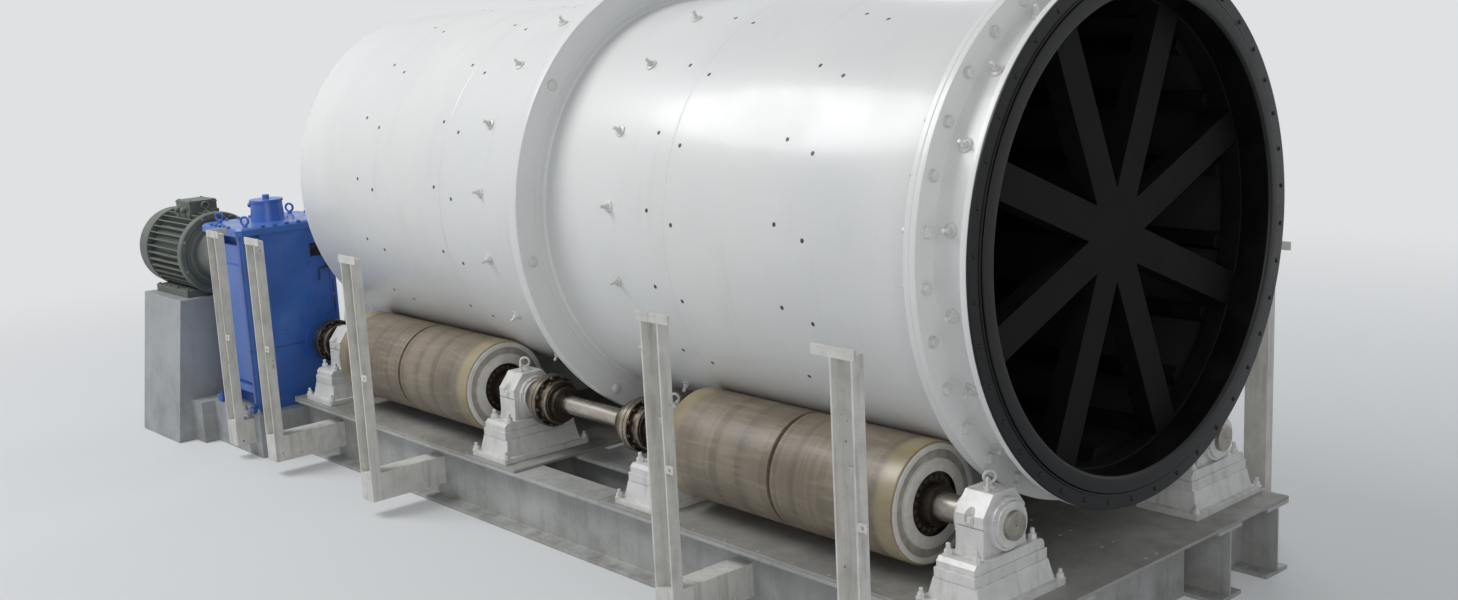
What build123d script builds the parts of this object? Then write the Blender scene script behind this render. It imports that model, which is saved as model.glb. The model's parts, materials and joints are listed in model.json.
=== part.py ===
from build123d import *
import os
from math import asin, cos, degrees, radians, sin, sqrt

# Rotary scrubber drum on its friction drive bed, in millimetres.
# X runs along the drum and +X points to the discharge mouth. -Y is the front and +Z is up.
# X = 0 is the middle of the thrust ring and Z = 0 is the underside of the base.

# Drum shell
shell_radius = 1300.0
shell_wall = 22.0
shell_past_rollers = 315.0     # roller end to the feed end of the shell
joint_past_rollers = 285.0     # roller end to the bolted joint near the mouth
head_wall = 30.0
feed_opening_radius = 520.0
feed_collar_wall = 20.0
feed_collar_length = 140.0
feed_lip_width = 60.0
feed_rib_count = 12
feed_rib_wall = 16.0
feed_rib_rise = 80.0

# Rings and flanges on the drum
ring_rise = 215.0              # above the shell
ring_width = 80.0
flange_rise = 130.0
flange_wall = 38.0
flange_back = 330.0            # mouth face back to the joint of the two flanges
mouth_flange_rise = 117.0
mouth_flange_wall = 36.0
rubber_face = 30.0
rubber_lip_rise = 40.0         # inside the bore of the shell
rubber_step = 14.0
rubber_step_rise = 30.0        # outside the shell

# Lining and lifters
liner_wall = 30.0
lifter_count = 18
lifter_rise = 70.0
lifter_root = 110.0
lifter_crest = 70.0
fit_gap = 0.2                  # between pieces of one body that seat on a curve

# Spider inside the mouth
spider_set_back = 150.0
spider_depth = 120.0
spider_rim_wall = 50.0
spider_arm_count = 8
spider_arm_width = 190.0
spider_hub_radius = 230.0

# Driving rollers
roller_radius = 330.0
roller_length = 1800.0
roller_gap = 2130.0            # between the inner ends of the two rollers of a row
tyre_wall = 40.0
tyre_groove = 26.0
tyre_shoulder = 8.0            # the steel core stands past the tyres by this at each end
seat_angle = 36.424            # between the vertical and the line from the drum to a roller
axle_z = 850.0
contact_gap = 0.3              # shell to tyre, so that the two never overlap
hub_radius = 175.0
hub_length = 70.0
end_recess = 14.0
end_recess_inner = 235.0
end_recess_outer = 262.0
axle_radius = 75.0

# Bearing blocks and pedestals
inner_block_offset = 265.0     # roller end to the middle of a block
outer_block_offset = 375.0
block_width = 240.0
block_foot_width = 560.0
block_foot_rise = 55.0
block_radius = 165.0
block_shoulder = 82.0
block_drop = 200.0             # axle centre to the underside of the block
block_seal_radius = 118.0
block_seal_rise = 20.0
bearing_gap = 0.4
ear_width = 440.0
ear_rise = 46.0
ear_depth = 120.0
split_gap = 6.0
split_depth = 12.0
pad_rim = 10.0                 # pedestal top plate past the block foot
pedestal_steps = ((700.0, 400.0, 36.0), (620.0, 330.0, 110.0))

# Couplings, line shafts and shaft ends
coupling_start = 30.0          # block face to coupling
coupling_length = 320.0
coupling_radius = 178.0
coupling_body_radius = 148.0
coupling_hub_radius = 112.0
line_shaft_radius = 62.0
shaft_end_past_block = 45.0

# Thrust rollers
thrust_radius = 157.0
thrust_width = 150.0
thrust_hub_radius = 115.0
thrust_cap_wall = 12.0
thrust_cap_lip = 8.0
thrust_spread = 173.0          # sideways from the middle of the machine
thrust_running_gap = 5.0
thrust_inset = 4.0             # tyre end inside the ring's outer radius
pin_radius = 36.0
pin_end_gap = 3.0
bracket_gap = 20.0             # ring to the bracket below it
bracket_half_length = 400.0
bracket_half_width = 430.0
bracket_plate = 28.0
bracket_rib = 22.0

# Base
beam_height = 430.0
beam_width = 240.0
beam_flange = 24.0
beam_web = 14.0
beam_spread = 260.0            # either side of a row's axle
frame_past_block = 360.0
cross_beam_width = 260.0
centre_beam_width = 820.0
cross_beam_offset = 10.0       # past the middle of the outer blocks
deck_plate = 20.0
deck_gap_half = 460.0
saddle_gap = 30.0
saddle_clearance = 38.0        # to the driving rollers
saddle_length = 220.0
saddle_plate = 22.0
saddle_web = 16.0

# Drives, one behind each row
gearbox_clearance = 25.0       # coupling to gearbox face
gearbox_length = 640.0
gearbox_behind = 640.0         # from the axle towards -Y
gearbox_ahead = 170.0          # from the axle towards +Y
gearbox_top = 1850.0
gearbox_wall_round = 36.0
lid_wall = 62.0
lid_overhang = 26.0
filler_radius = 125.0
filler_rise = 165.0
filler_lid_radius = 134.0
filler_lid_rise = 20.0
foot_wall = 40.0
foot_overhang = 45.0
output_boss_radius = 165.0
output_boss_rise = 15.0
output_shaft_depth = 80.0
output_shaft_reach = 168.0      # past the gearbox face, into the coupling
output_shaft_radius = 75.0
plinth_top = 350.0
plinth_overhang = 60.0
motor_offset = 430.0           # motor axis from the row's axle, towards -Y
motor_z = 1550.0
motor_radius = 290.0
fin_rise = 55.0
fin_width = 14.0
fin_count = 36
motor_length = 760.0
motor_end_radius = 350.0
motor_end_wall = 60.0
fan_cowl_length = 150.0
adapter_length = 240.0
adapter_radius = 210.0
motor_foot_height = 60.0
motor_foot_half_width = 300.0
motor_stand_half_width = 390.0
motor_stand_spread = 150.0     # the stand is this much wider at its foot, each side

# Guard posts
drive_post_gap = 170.0         # end of the frame to the post beside the drive
post_shares = (-0.8556, -0.4444, 0.4639, 0.8528)
back_post_share = 0.875        # shares of the frame's reach
post_spread = 822.0            # row axle to post
post_top = 1840.0
post_width = 150.0
post_depth = 75.0
post_wall = 12.0
post_cleat = 16.0
post_cleat_reach = 110.0
outrigger_height = 200.0
outrigger_width = 150.0
outrigger_z = 120.0

# Worked out from the sizes above
seat_reach = shell_radius + roller_radius + contact_gap
row_y = seat_reach * sin(radians(seat_angle))
drum_z = axle_z + seat_reach * cos(radians(seat_angle))
bore_radius = shell_radius - shell_wall
liner_radius = bore_radius - liner_wall
roller_centre_x = (roller_gap + roller_length) / 2
core_radius = roller_radius - tyre_wall
inner_end = roller_gap / 2
outer_end = inner_end + roller_length
feed_reach = outer_end + shell_past_rollers
joint_x = outer_end + joint_past_rollers
mouth_reach = joint_x + flange_back
mouth_face = mouth_reach + rubber_face
spider_front = mouth_reach - spider_set_back
spider_back = spider_front - spider_depth
ring_radius = shell_radius + ring_rise
flange_radius = shell_radius + flange_rise
mouth_flange_radius = shell_radius + mouth_flange_rise
rubber_lip_radius = bore_radius - rubber_lip_rise
rubber_step_radius = shell_radius + rubber_step_rise
inner_block_x = inner_end - inner_block_offset
outer_block_x = outer_end + outer_block_offset
cross_beam_x = outer_block_x + cross_beam_offset
frame_reach = outer_block_x + frame_past_block
deck_top = beam_height + deck_plate
inner_coupling = inner_block_x - block_width / 2 - coupling_start
outer_coupling = outer_block_x + block_width / 2 + coupling_start
gearbox_face = outer_coupling + coupling_length + gearbox_clearance
gearbox_back = gearbox_face + gearbox_length
motor_front = gearbox_back + adapter_length
thrust_x = ring_width / 2 + thrust_running_gap + thrust_radius
thrust_end = ring_radius - thrust_inset            # lower end of a thrust tyre, from the drum axis
thrust_angle = degrees(asin(thrust_spread / (thrust_end - thrust_width / 2)))
bracket_top = ring_radius + bracket_gap            # from the drum axis
saddle_radius = shell_radius + saddle_gap
saddle_half_width = row_y - roller_radius - saddle_clearance
post_x = [-frame_reach - drive_post_gap] + [share * frame_reach for share in post_shares]
back_post_x = back_post_share * frame_reach
post_y = row_y + post_spread


def block(x0, x1, y0, y1, z0, z1):
    """A box between two corners."""
    return Pos((x0 + x1) / 2, (y0 + y1) / 2, (z0 + z1) / 2) * Box(x1 - x0, y1 - y0, z1 - z0)


def rod(radius, x0, x1, y=0.0, z=0.0):
    """A cylinder along X."""
    return Pos((x0 + x1) / 2, y, z) * Rot(0, 90, 0) * Cylinder(radius, abs(x1 - x0))


def ring(outer, inner, x0, x1, y=0.0, z=0.0):
    """A plain ring along X."""
    return rod(outer, x0, x1, y, z) - rod(inner, x0, x1, y, z)


def turned(points, y=0.0, z=0.0):
    """A turned piece: (x, radius) points revolved about the X direction at y, z."""
    outline = Polyline(*[(x, 0, radius) for x, radius in points], close=True)
    return Pos(0, y, z) * revolve(make_face(outline), Axis.X, 360)


def upright(points, x0, x1):
    """A flat (y, z) outline carried from x0 to x1."""
    outline = Polyline(*[(x0, y, z) for y, z in points], close=True)
    return extrude(make_face(outline), amount=x1 - x0, dir=(1, 0, 0))


def on_drum(shape, angle=0.0):
    """Moves a piece made about the X axis to the drum axis, turned by an angle."""
    return Pos(0, 0, drum_z) * Rot(angle, 0, 0) * shape


# Drum

def drum_shell():
    return on_drum(ring(shell_radius, bore_radius, -feed_reach, joint_x))


def feed_head():
    head_x = -feed_reach - head_wall
    collar_x = head_x - feed_collar_length
    collar_outer = feed_opening_radius + feed_collar_wall
    head = turned([(-feed_reach, feed_opening_radius), (-feed_reach, shell_radius),
                   (head_x, shell_radius), (head_x, collar_outer),
                   (collar_x + feed_collar_wall, collar_outer),
                   (collar_x + feed_collar_wall, collar_outer + feed_lip_width),
                   (collar_x, collar_outer + feed_lip_width), (collar_x, feed_opening_radius)])
    rib_low = collar_outer - feed_collar_wall / 2
    rib_high = shell_radius - feed_lip_width
    rib = block(head_x - feed_rib_rise, head_x + 1, -feed_rib_wall / 2, feed_rib_wall / 2, rib_low, rib_high)
    for number in range(feed_rib_count):
        head += Rot(number * 360 / feed_rib_count, 0, 0) * rib
    return on_drum(head)


def shell_liner():
    return on_drum(ring(bore_radius - fit_gap, liner_radius, -feed_reach, spider_back))


def lifter_bars():
    root_radius = sqrt((liner_radius - fit_gap) ** 2 - (lifter_root / 2) ** 2)
    crest_radius = root_radius - lifter_rise
    bar = upright([(-lifter_root / 2, -root_radius), (lifter_root / 2, -root_radius),
                   (lifter_crest / 2, -crest_radius), (-lifter_crest / 2, -crest_radius)],
                  -feed_reach, spider_back)
    return Compound([on_drum(bar, number * 360 / lifter_count) for number in range(lifter_count)])


def thrust_ring():
    return on_drum(ring(ring_radius, shell_radius + fit_gap, -ring_width / 2, ring_width / 2))


def shell_flange():
    return on_drum(ring(flange_radius, shell_radius + fit_gap, joint_x - flange_wall, joint_x))


def discharge_section():
    return on_drum(turned([(joint_x, bore_radius), (joint_x, flange_radius),
                           (joint_x + flange_wall, flange_radius), (joint_x + flange_wall, shell_radius),
                           (mouth_reach - mouth_flange_wall, shell_radius),
                           (mouth_reach - mouth_flange_wall, mouth_flange_radius),
                           (mouth_reach, mouth_flange_radius), (mouth_reach, bore_radius)]))


def mouth_rubber():
    sleeve = bore_radius - fit_gap
    step_x = mouth_face - rubber_step
    return on_drum(turned([(spider_front, rubber_lip_radius), (spider_front, sleeve), (mouth_reach, sleeve),
                           (mouth_reach, mouth_flange_radius), (step_x, mouth_flange_radius),
                           (step_x, rubber_step_radius), (mouth_face, rubber_step_radius),
                           (mouth_face, rubber_lip_radius + rubber_step), (step_x, rubber_lip_radius)]))


def mouth_spider():
    rim_outer = bore_radius - fit_gap
    spider = ring(rim_outer, rim_outer - spider_rim_wall, spider_back, spider_front)
    spider += rod(spider_hub_radius, spider_back, spider_front)
    arm = block(spider_back, spider_front, -spider_arm_width / 2, spider_arm_width / 2,
                spider_hub_radius / 2, rim_outer - spider_rim_wall / 2)
    for number in range(spider_arm_count):
        spider += Rot((number + 0.5) * 360 / spider_arm_count, 0, 0) * arm
    return on_drum(spider)


# Rows of driving rollers. Row side is -1 at the front and +1 at the back, end is -1 at the
# feed and +1 at the discharge.

def roller(side, end):
    """Steel core with stepped end plates, hubs and the axle through both bearing blocks."""
    near = inner_end - tyre_shoulder
    far = outer_end + tyre_shoulder
    inner_stub = inner_coupling - coupling_length / 2
    if end < 0:
        outer_stub = outer_coupling + coupling_length / 2
    else:
        outer_stub = outer_block_x + block_width / 2 + shaft_end_past_block
    points = [(inner_stub, 0), (inner_stub, axle_radius), (near - hub_length, axle_radius),
              (near - hub_length, hub_radius), (near + end_recess, hub_radius),
              (near + end_recess, end_recess_inner), (near, end_recess_inner), (near, end_recess_outer),
              (near + end_recess, end_recess_outer), (near + end_recess, core_radius),
              (far - end_recess, core_radius), (far - end_recess, end_recess_outer),
              (far, end_recess_outer), (far, end_recess_inner), (far - end_recess, end_recess_inner),
              (far - end_recess, hub_radius), (far + hub_length, hub_radius),
              (far + hub_length, axle_radius), (outer_stub, axle_radius), (outer_stub, 0)]
    return turned([(end * x, radius) for x, radius in points], side * row_y, axle_z)


def tyres(side, end):
    """Two cast tyres on one core, with a groove between them."""
    middle = roller_centre_x
    pair = []
    for x0, x1 in ((inner_end, middle - tyre_groove / 2), (middle + tyre_groove / 2, outer_end)):
        pair.append(ring(roller_radius, core_radius + fit_gap, min(end * x0, end * x1),
                         max(end * x0, end * x1), side * row_y, axle_z))
    return Compound(pair)


def coupling(start, direction, side, bore):
    """Flanged gear coupling: two hubs, two sleeves and the bolted flange in the middle."""
    length = coupling_length
    steps = [(0.0, coupling_hub_radius), (0.16, coupling_hub_radius), (0.16, coupling_body_radius),
             (0.40, coupling_body_radius), (0.40, coupling_radius), (0.60, coupling_radius),
             (0.60, coupling_body_radius), (0.84, coupling_body_radius), (0.84, coupling_hub_radius),
             (1.0, coupling_hub_radius)]
    points = [(start + direction * length * share, radius) for share, radius in steps]
    points += [(start + direction * length, bore), (start, bore)]
    return turned(points, side * row_y, axle_z)


def couplings(side):
    bore = axle_radius + fit_gap
    inner = line_shaft_radius + fit_gap
    shapes = []
    for end in (-1, 1):
        sleeve = coupling(end * inner_coupling, -end, side, inner)
        middle = end * (inner_coupling - coupling_length / 2)
        shapes.append(sleeve - rod(bore, middle, end * inner_coupling, side * row_y, axle_z))
    shapes.append(coupling(-outer_coupling, -1, side, bore))
    return Compound(shapes)


def shafts(side):
    """The line shaft between the two rollers and the gearbox's output shaft."""
    reach = inner_coupling - coupling_length / 2
    line_shaft = rod(line_shaft_radius, -reach, reach, side * row_y, axle_z)
    output_shaft = rod(output_shaft_radius, -gearbox_face - output_shaft_depth,
                       -gearbox_face + output_shaft_reach, side * row_y, axle_z)
    return Compound([line_shaft, output_shaft])


# Thrust rollers stand square to the drum axis, one pair each side of the thrust ring.

def at_thrust(shape, side, end):
    """Places a piece made on the Z axis at the drum axis height, pointing down at the roller."""
    return Pos(end * thrust_x, 0, drum_z) * Rot(side * thrust_angle, 0, 0) * shape


def thrust_tyre(side, end):
    tyre = Cylinder(thrust_radius, thrust_width) - Cylinder(thrust_hub_radius + fit_gap, thrust_width)
    return at_thrust(Pos(0, 0, -thrust_end + thrust_width / 2) * tyre, side, end)


def thrust_hub(side, end):
    top = -thrust_end + thrust_width
    hub = Pos(0, 0, top - thrust_width / 2) * Cylinder(thrust_hub_radius, thrust_width)
    cap = Cylinder(thrust_hub_radius + thrust_cap_lip, thrust_cap_wall)
    hub += Pos(0, 0, top + thrust_cap_wall / 2) * cap
    bore = Pos(0, 0, top - thrust_width / 2) * Cylinder(pin_radius + bearing_gap, thrust_width)
    return at_thrust(hub - bore, side, end)


def thrust_bracket():
    """Welded stool whose two top plates lie square to the thrust rollers' pins."""
    slope = radians(thrust_angle)
    valley = drum_z - bracket_top / cos(slope)
    rise = bracket_half_width * sin(slope) / cos(slope)
    low = beam_height
    outline = [(-bracket_half_width, low), (bracket_half_width, low),
               (bracket_half_width, valley + rise), (0, valley), (-bracket_half_width, valley + rise)]
    under = [(-bracket_half_width + bracket_rib, low + bracket_plate),
             (bracket_half_width - bracket_rib, low + bracket_plate),
             (bracket_half_width - bracket_rib, valley + rise - bracket_plate),
             (0, valley - bracket_plate), (-bracket_half_width + bracket_rib, valley + rise - bracket_plate)]
    stool = upright(outline, -bracket_half_length, bracket_half_length)
    ribs = (-bracket_half_length, -thrust_x, 0.0, thrust_x, bracket_half_length)
    for x0, x1 in zip(ribs, ribs[1:]):
        stool -= upright(under, x0 + bracket_rib / 2, x1 - bracket_rib / 2)
    pin_top = -thrust_end + thrust_width - pin_end_gap
    pin_foot = -bracket_top - bracket_plate / 2
    pin = Pos(0, 0, (pin_top + pin_foot) / 2) * Cylinder(pin_radius, pin_top - pin_foot)
    collar_top = -thrust_end - pin_end_gap
    collar = Pos(0, 0, (collar_top + pin_foot) / 2) * Cylinder(2 * pin_radius, collar_top - pin_foot)
    for side in (-1, 1):
        for end in (-1, 1):
            stool += at_thrust(pin, side, end)
            stool += at_thrust(collar, side, end)
    return stool


# Bearings

def block_places():
    return [end * x for end in (-1, 1) for x in (inner_block_x, outer_block_x)]


def bearing_block(x, side):
    """Split pillow block: foot, body with sloped shoulders, bolted ears and end seals."""
    y = side * row_y
    foot_z = axle_z - block_drop
    half = block_width / 2
    foot_half = block_foot_width / 2
    shoulder = block_shoulder
    body = [(-foot_half, foot_z), (foot_half, foot_z), (foot_half, foot_z + block_foot_rise),
            (block_radius + 10, foot_z + block_foot_rise + 20), (block_radius, axle_z + ear_rise),
            (shoulder, axle_z + block_radius), (-shoulder, axle_z + block_radius),
            (-block_radius, axle_z + ear_rise), (-block_radius - 10, foot_z + block_foot_rise + 20),
            (-foot_half, foot_z + block_foot_rise)]
    shape = upright([(y + dy, dz) for dy, dz in body], x - half, x + half)
    shape += block(x - ear_depth / 2, x + ear_depth / 2, y - ear_width / 2, y + ear_width / 2,
                   axle_z - ear_rise, axle_z + ear_rise)
    shape += rod(block_seal_radius, x - half - block_seal_rise, x + half + block_seal_rise, y, axle_z)
    for edge in (-1, 1):
        slot_y = y + edge * ear_width / 2
        shape -= block(x - half, x + half, slot_y - split_depth, slot_y + split_depth,
                       axle_z - split_gap / 2, axle_z + split_gap / 2)
    return shape - rod(axle_radius + bearing_gap, x - block_width, x + block_width, y, axle_z)


def bearing_blocks(side):
    return Compound([bearing_block(x, side) for x in block_places()])


def pedestals(side):
    """Stepped stools under the bearing blocks."""
    shapes = []
    for x in block_places():
        z = deck_top
        stool = None
        for width, length, rise in pedestal_steps:
            step = block(x - length / 2, x + length / 2, side * row_y - width / 2, side * row_y + width / 2,
                         z, z + rise)
            stool = step if stool is None else stool + step
            z += rise
        half_x = block_width / 2 + pad_rim
        half_y = block_foot_width / 2 + pad_rim
        stool += block(x - half_x, x + half_x, side * row_y - half_y, side * row_y + half_y,
                       z, axle_z - block_drop)
        shapes.append(stool)
    return Compound(shapes)


# Base

def beam_outline(y):
    """Section of a welded I-beam in the (y, z) plane."""
    half = beam_width / 2
    web = beam_web / 2
    low = beam_flange
    high = beam_height - beam_flange
    right = [(half, 0), (half, low), (web, low), (web, high), (half, high), (half, beam_height)]
    left = [(-dy, z) for dy, z in reversed(right)]
    return [(y + dy, z) for dy, z in right + left]


def base_frame(side):
    """Two I-beams under a row, tied by box members under the bearing blocks."""
    inner = side * (row_y - beam_spread)
    outer = side * (row_y + beam_spread)
    frame = upright(beam_outline(inner), -frame_reach, frame_reach)
    frame += upright(beam_outline(outer), -frame_reach, frame_reach)
    low, high = sorted((inner, outer))
    for x in block_places():
        frame += block(x - cross_beam_width / 2, x + cross_beam_width / 2, low, high,
                       beam_flange, beam_height - beam_flange)
    return frame


def cross_beams():
    """Box beams between the two frames. The middle one carries the thrust bracket."""
    reach = row_y - beam_spread - beam_width / 2
    shapes = [block(-centre_beam_width / 2, centre_beam_width / 2, -reach, reach, 0, beam_height)]
    half = cross_beam_width / 2
    for x in (-cross_beam_x, -roller_centre_x, roller_centre_x, cross_beam_x):
        shapes.append(block(x - half, x + half, -reach, reach, 0, beam_height))
    return Compound(shapes)


def deck_plates():
    edge = row_y + beam_spread + beam_width / 2
    return Compound([block(x0, x1, -edge, edge, beam_height, deck_top)
                     for x0, x1 in ((-frame_reach, -deck_gap_half), (deck_gap_half, frame_reach))])


def saddle(x):
    """Curved catch plate below the drum on two side webs and two end plates."""
    half = saddle_half_width
    under = saddle_radius + saddle_plate
    top_z = drum_z - sqrt(saddle_radius ** 2 - half ** 2)
    box = block(x - saddle_length / 2, x + saddle_length / 2, -half, half, deck_top, top_z)
    box -= rod(saddle_radius, x - saddle_length, x + saddle_length, 0, drum_z)
    inside = block(x - saddle_length / 2 + saddle_web, x + saddle_length / 2 - saddle_web,
                   -half + saddle_web, half - saddle_web, deck_top - 1, top_z)
    inside -= rod(under, x - saddle_length, x + saddle_length, 0, drum_z)
    return box - inside


def saddles():
    return Compound([saddle(end * roller_centre_x) for end in (-1, 1)])


# Drives

def gearbox(side):
    """Tall parallel-shaft gearbox with an overhanging lid, filler pot, foot and bosses."""
    y = side * row_y
    y0 = y - gearbox_behind
    y1 = y + gearbox_ahead
    x0 = -gearbox_back
    x1 = -gearbox_face
    body = block(x0, x1, y0, y1, plinth_top, gearbox_top - lid_wall)
    body = fillet(body.edges().filter_by(Axis.Z), gearbox_wall_round)
    lid = block(x0 - lid_overhang, x1 + lid_overhang, y0 - lid_overhang, y1 + lid_overhang,
                gearbox_top - lid_wall, gearbox_top)
    lid = chamfer(lid.edges().filter_by(Axis.Z), gearbox_wall_round)
    lid = chamfer(lid.faces().sort_by(Axis.Z)[-1].edges(), lid_wall / 4)
    foot = block(x0 - foot_overhang, x1 + foot_overhang / 3, y0 - foot_overhang, y1 + foot_overhang / 3,
                 plinth_top, plinth_top + foot_wall)
    middle_x = (x0 + x1) / 2
    middle_y = (y0 + y1) / 2
    pot = Pos(middle_x, middle_y, gearbox_top + filler_rise / 2) * Cylinder(filler_radius, filler_rise)
    pot += Pos(middle_x, middle_y, gearbox_top + filler_rise) * Cylinder(filler_lid_radius, filler_lid_rise)
    boss = rod(output_boss_radius, x1 - 1, x1 + output_boss_rise, y, axle_z)
    bore = rod(output_shaft_radius + bearing_gap, x1 - output_shaft_depth - split_gap,
               x1 + gearbox_clearance, y, axle_z)
    return body + lid + foot + pot + boss - bore


def motor(side):
    """Finned motor with end shields, fan cowl, feet and the adapter to the gearbox."""
    y = side * row_y - motor_offset
    x1 = -motor_front
    x0 = x1 - motor_length
    outline = Circle(motor_radius)
    fin = Pos(motor_radius + fin_rise / 2 - 4, 0) * Rectangle(fin_rise + 8, fin_width)
    for number in range(fin_count):
        outline += Rot(0, 0, number * 360 / fin_count) * fin
    frame = Pos(x0, y, motor_z) * extrude(Plane.YZ * outline, amount=motor_length)
    frame += rod(motor_end_radius, x1 - motor_end_wall, x1, y, motor_z)
    frame += rod(motor_end_radius, x0, x0 + motor_end_wall, y, motor_z)
    frame += rod(motor_end_radius - 12, x0 - fan_cowl_length, x0, y, motor_z)
    frame += rod(adapter_radius, x1, -gearbox_back, y, motor_z)
    foot_top = motor_z - motor_end_radius + motor_foot_height
    frame += block(x0 + motor_end_wall, x1 - motor_end_wall, y - motor_foot_half_width,
                   y + motor_foot_half_width, motor_z - motor_end_radius, foot_top)
    return frame


def drive_plinth(side):
    """Stepped base: low under the gearbox, high with sloped sides under the motor."""
    y = side * row_y
    low = block(-gearbox_back - plinth_overhang, -frame_reach, y - gearbox_behind - plinth_overhang,
                y + gearbox_ahead + plinth_overhang, 0, plinth_top)
    centre = y - motor_offset
    top = motor_z - motor_end_radius
    half = motor_stand_half_width
    foot = half + motor_stand_spread
    outline = [(centre - foot, 0), (centre + foot, 0), (centre + half, top), (centre - half, top)]
    stand = upright(outline, -motor_front - motor_length, -motor_front)
    return low + stand + block(-motor_front - 1, -gearbox_back - plinth_overhang + 1, centre - half,
                               centre + half, 0, plinth_top)


# Guard posts

def post(x, side):
    """Channel post on an outrigger from the outer beam, with a cleat on top."""
    outrigger_start = row_y + beam_spread + beam_web / 2
    if x < -frame_reach:
        outrigger_start = row_y + gearbox_behind + plinth_overhang
    y_in = post_y - post_depth / 2
    y_out = post_y + post_depth / 2
    half = post_width / 2
    outrigger_top = outrigger_z + outrigger_height
    channel = block(x - half, x + half, y_in, y_out, outrigger_top, post_top)
    channel -= block(x - half + post_wall, x + half - post_wall, y_in + post_wall, y_out + 1,
                     outrigger_top - 1, post_top + 1)
    channel += block(x - half, x + half + post_cleat_reach, y_in, y_out, post_top, post_top + post_cleat)
    channel += block(x - outrigger_width / 2, x + outrigger_width / 2, outrigger_start, y_out, outrigger_z,
                     outrigger_top)
    return channel if side > 0 else mirror(channel, Plane.XZ)


def guard_posts():
    return Compound([post(x, -1) for x in post_x] + [post(back_post_x, 1)])


parts = {
    "drum_shell": drum_shell(),
    "feed_head": feed_head(),
    "shell_liner": shell_liner(),
    "lifter_bars": lifter_bars(),
    "thrust_ring": thrust_ring(),
    "shell_flange": shell_flange(),
    "discharge_section": discharge_section(),
    "mouth_rubber": mouth_rubber(),
    "mouth_spider": mouth_spider(),
    "cross_beams": cross_beams(),
    "deck_plates": deck_plates(),
    "saddles": saddles(),
    "thrust_bracket": thrust_bracket(),
    "guard_posts": guard_posts(),
}
for side, name in ((-1, "front"), (1, "back")):
    parts[name + "_base_frame"] = base_frame(side)
    parts[name + "_pedestals"] = pedestals(side)
    parts[name + "_bearing_blocks"] = bearing_blocks(side)
    parts[name + "_gearbox"] = gearbox(side)
    parts[name + "_motor"] = motor(side)
    parts[name + "_drive_plinth"] = drive_plinth(side)
    parts[name + "_couplings"] = couplings(side)
    parts[name + "_shafts"] = shafts(side)
    for end, place in ((-1, "feed"), (1, "discharge")):
        parts[name + "_" + place + "_roller"] = roller(side, end)
        parts[name + "_" + place + "_tyres"] = tyres(side, end)
        parts[name + "_" + place + "_thrust_tyre"] = thrust_tyre(side, end)
        parts[name + "_" + place + "_thrust_hub"] = thrust_hub(side, end)

os.makedirs("parts", exist_ok=True)
for node, shape in parts.items():
    export_step(shape, "parts/" + node + ".step")
print(len(parts), "nodes, drum axis at", round(drum_z, 2), "thrust angle", round(thrust_angle, 3))
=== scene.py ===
import json
from math import asin, cos, pi, radians, sin

import bpy
import numpy as np
from mathutils import Matrix, Vector


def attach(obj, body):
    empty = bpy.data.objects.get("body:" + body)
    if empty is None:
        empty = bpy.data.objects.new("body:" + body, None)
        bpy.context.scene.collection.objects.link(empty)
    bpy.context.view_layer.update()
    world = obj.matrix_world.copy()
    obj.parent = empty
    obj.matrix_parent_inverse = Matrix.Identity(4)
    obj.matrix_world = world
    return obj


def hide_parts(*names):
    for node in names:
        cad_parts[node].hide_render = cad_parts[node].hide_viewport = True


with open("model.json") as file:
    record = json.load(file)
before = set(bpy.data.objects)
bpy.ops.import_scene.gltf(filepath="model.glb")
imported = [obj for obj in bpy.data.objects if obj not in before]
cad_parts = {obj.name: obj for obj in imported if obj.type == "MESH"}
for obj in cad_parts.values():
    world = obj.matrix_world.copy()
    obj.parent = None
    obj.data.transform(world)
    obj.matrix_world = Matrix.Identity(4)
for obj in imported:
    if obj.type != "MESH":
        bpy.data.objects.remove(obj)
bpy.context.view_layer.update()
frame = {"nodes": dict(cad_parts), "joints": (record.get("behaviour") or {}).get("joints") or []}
nodes = frame["nodes"]
print("frame loaded:", len(nodes), "nodes")

machine = {  # metres, as in the CAD
    "drumZ": 2.161809, "shellRadius": 1.3, "shellBore": 1.278, "feedEnd": -3.18, "mouthFace": 3.48,
    "rowY": 0.968, "axleZ": 0.85, "ringRadius": 1.515, "ringHalf": 0.04, "flangeRadius": 1.43,
    "flangeWall": 0.038, "jointX": 3.15, "endFlangeRadius": 1.417, "endFlangeWall": 0.036, "deckTop": 0.45,
    "seatGap": 0.0002,  # rings on the shell stand this far off it
}
for joint in frame["joints"]:
    if joint["name"] == "drum_spin":
        machine["drumZ"] = joint["pos_m"][2]


# Shapes. A shape is its points and a list of face tables, one table for each number of corners.

def roundCorners(points, reach, steps=3):
    # each corner of a closed outline becomes (1-t)^2 start + 2t(1-t) corner + t^2 end, with start and end
    # `reach` away from it along its two sides
    points = np.asarray(points, float)
    before = np.roll(points, 1, axis=0) - points
    after = np.roll(points, -1, axis=0) - points
    lengthBefore = np.linalg.norm(before, axis=1, keepdims=True)
    lengthAfter = np.linalg.norm(after, axis=1, keepdims=True)
    start = points + before / lengthBefore * np.minimum(reach, 0.42 * lengthBefore)
    end = points + after / lengthAfter * np.minimum(reach, 0.42 * lengthAfter)
    t = np.linspace(0, 1, steps)[None, :, None]
    curve = (1 - t) ** 2 * start[:, None] + 2 * t * (1 - t) * points[:, None] + t ** 2 * end[:, None]
    return curve.reshape(-1, points.shape[1])


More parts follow.
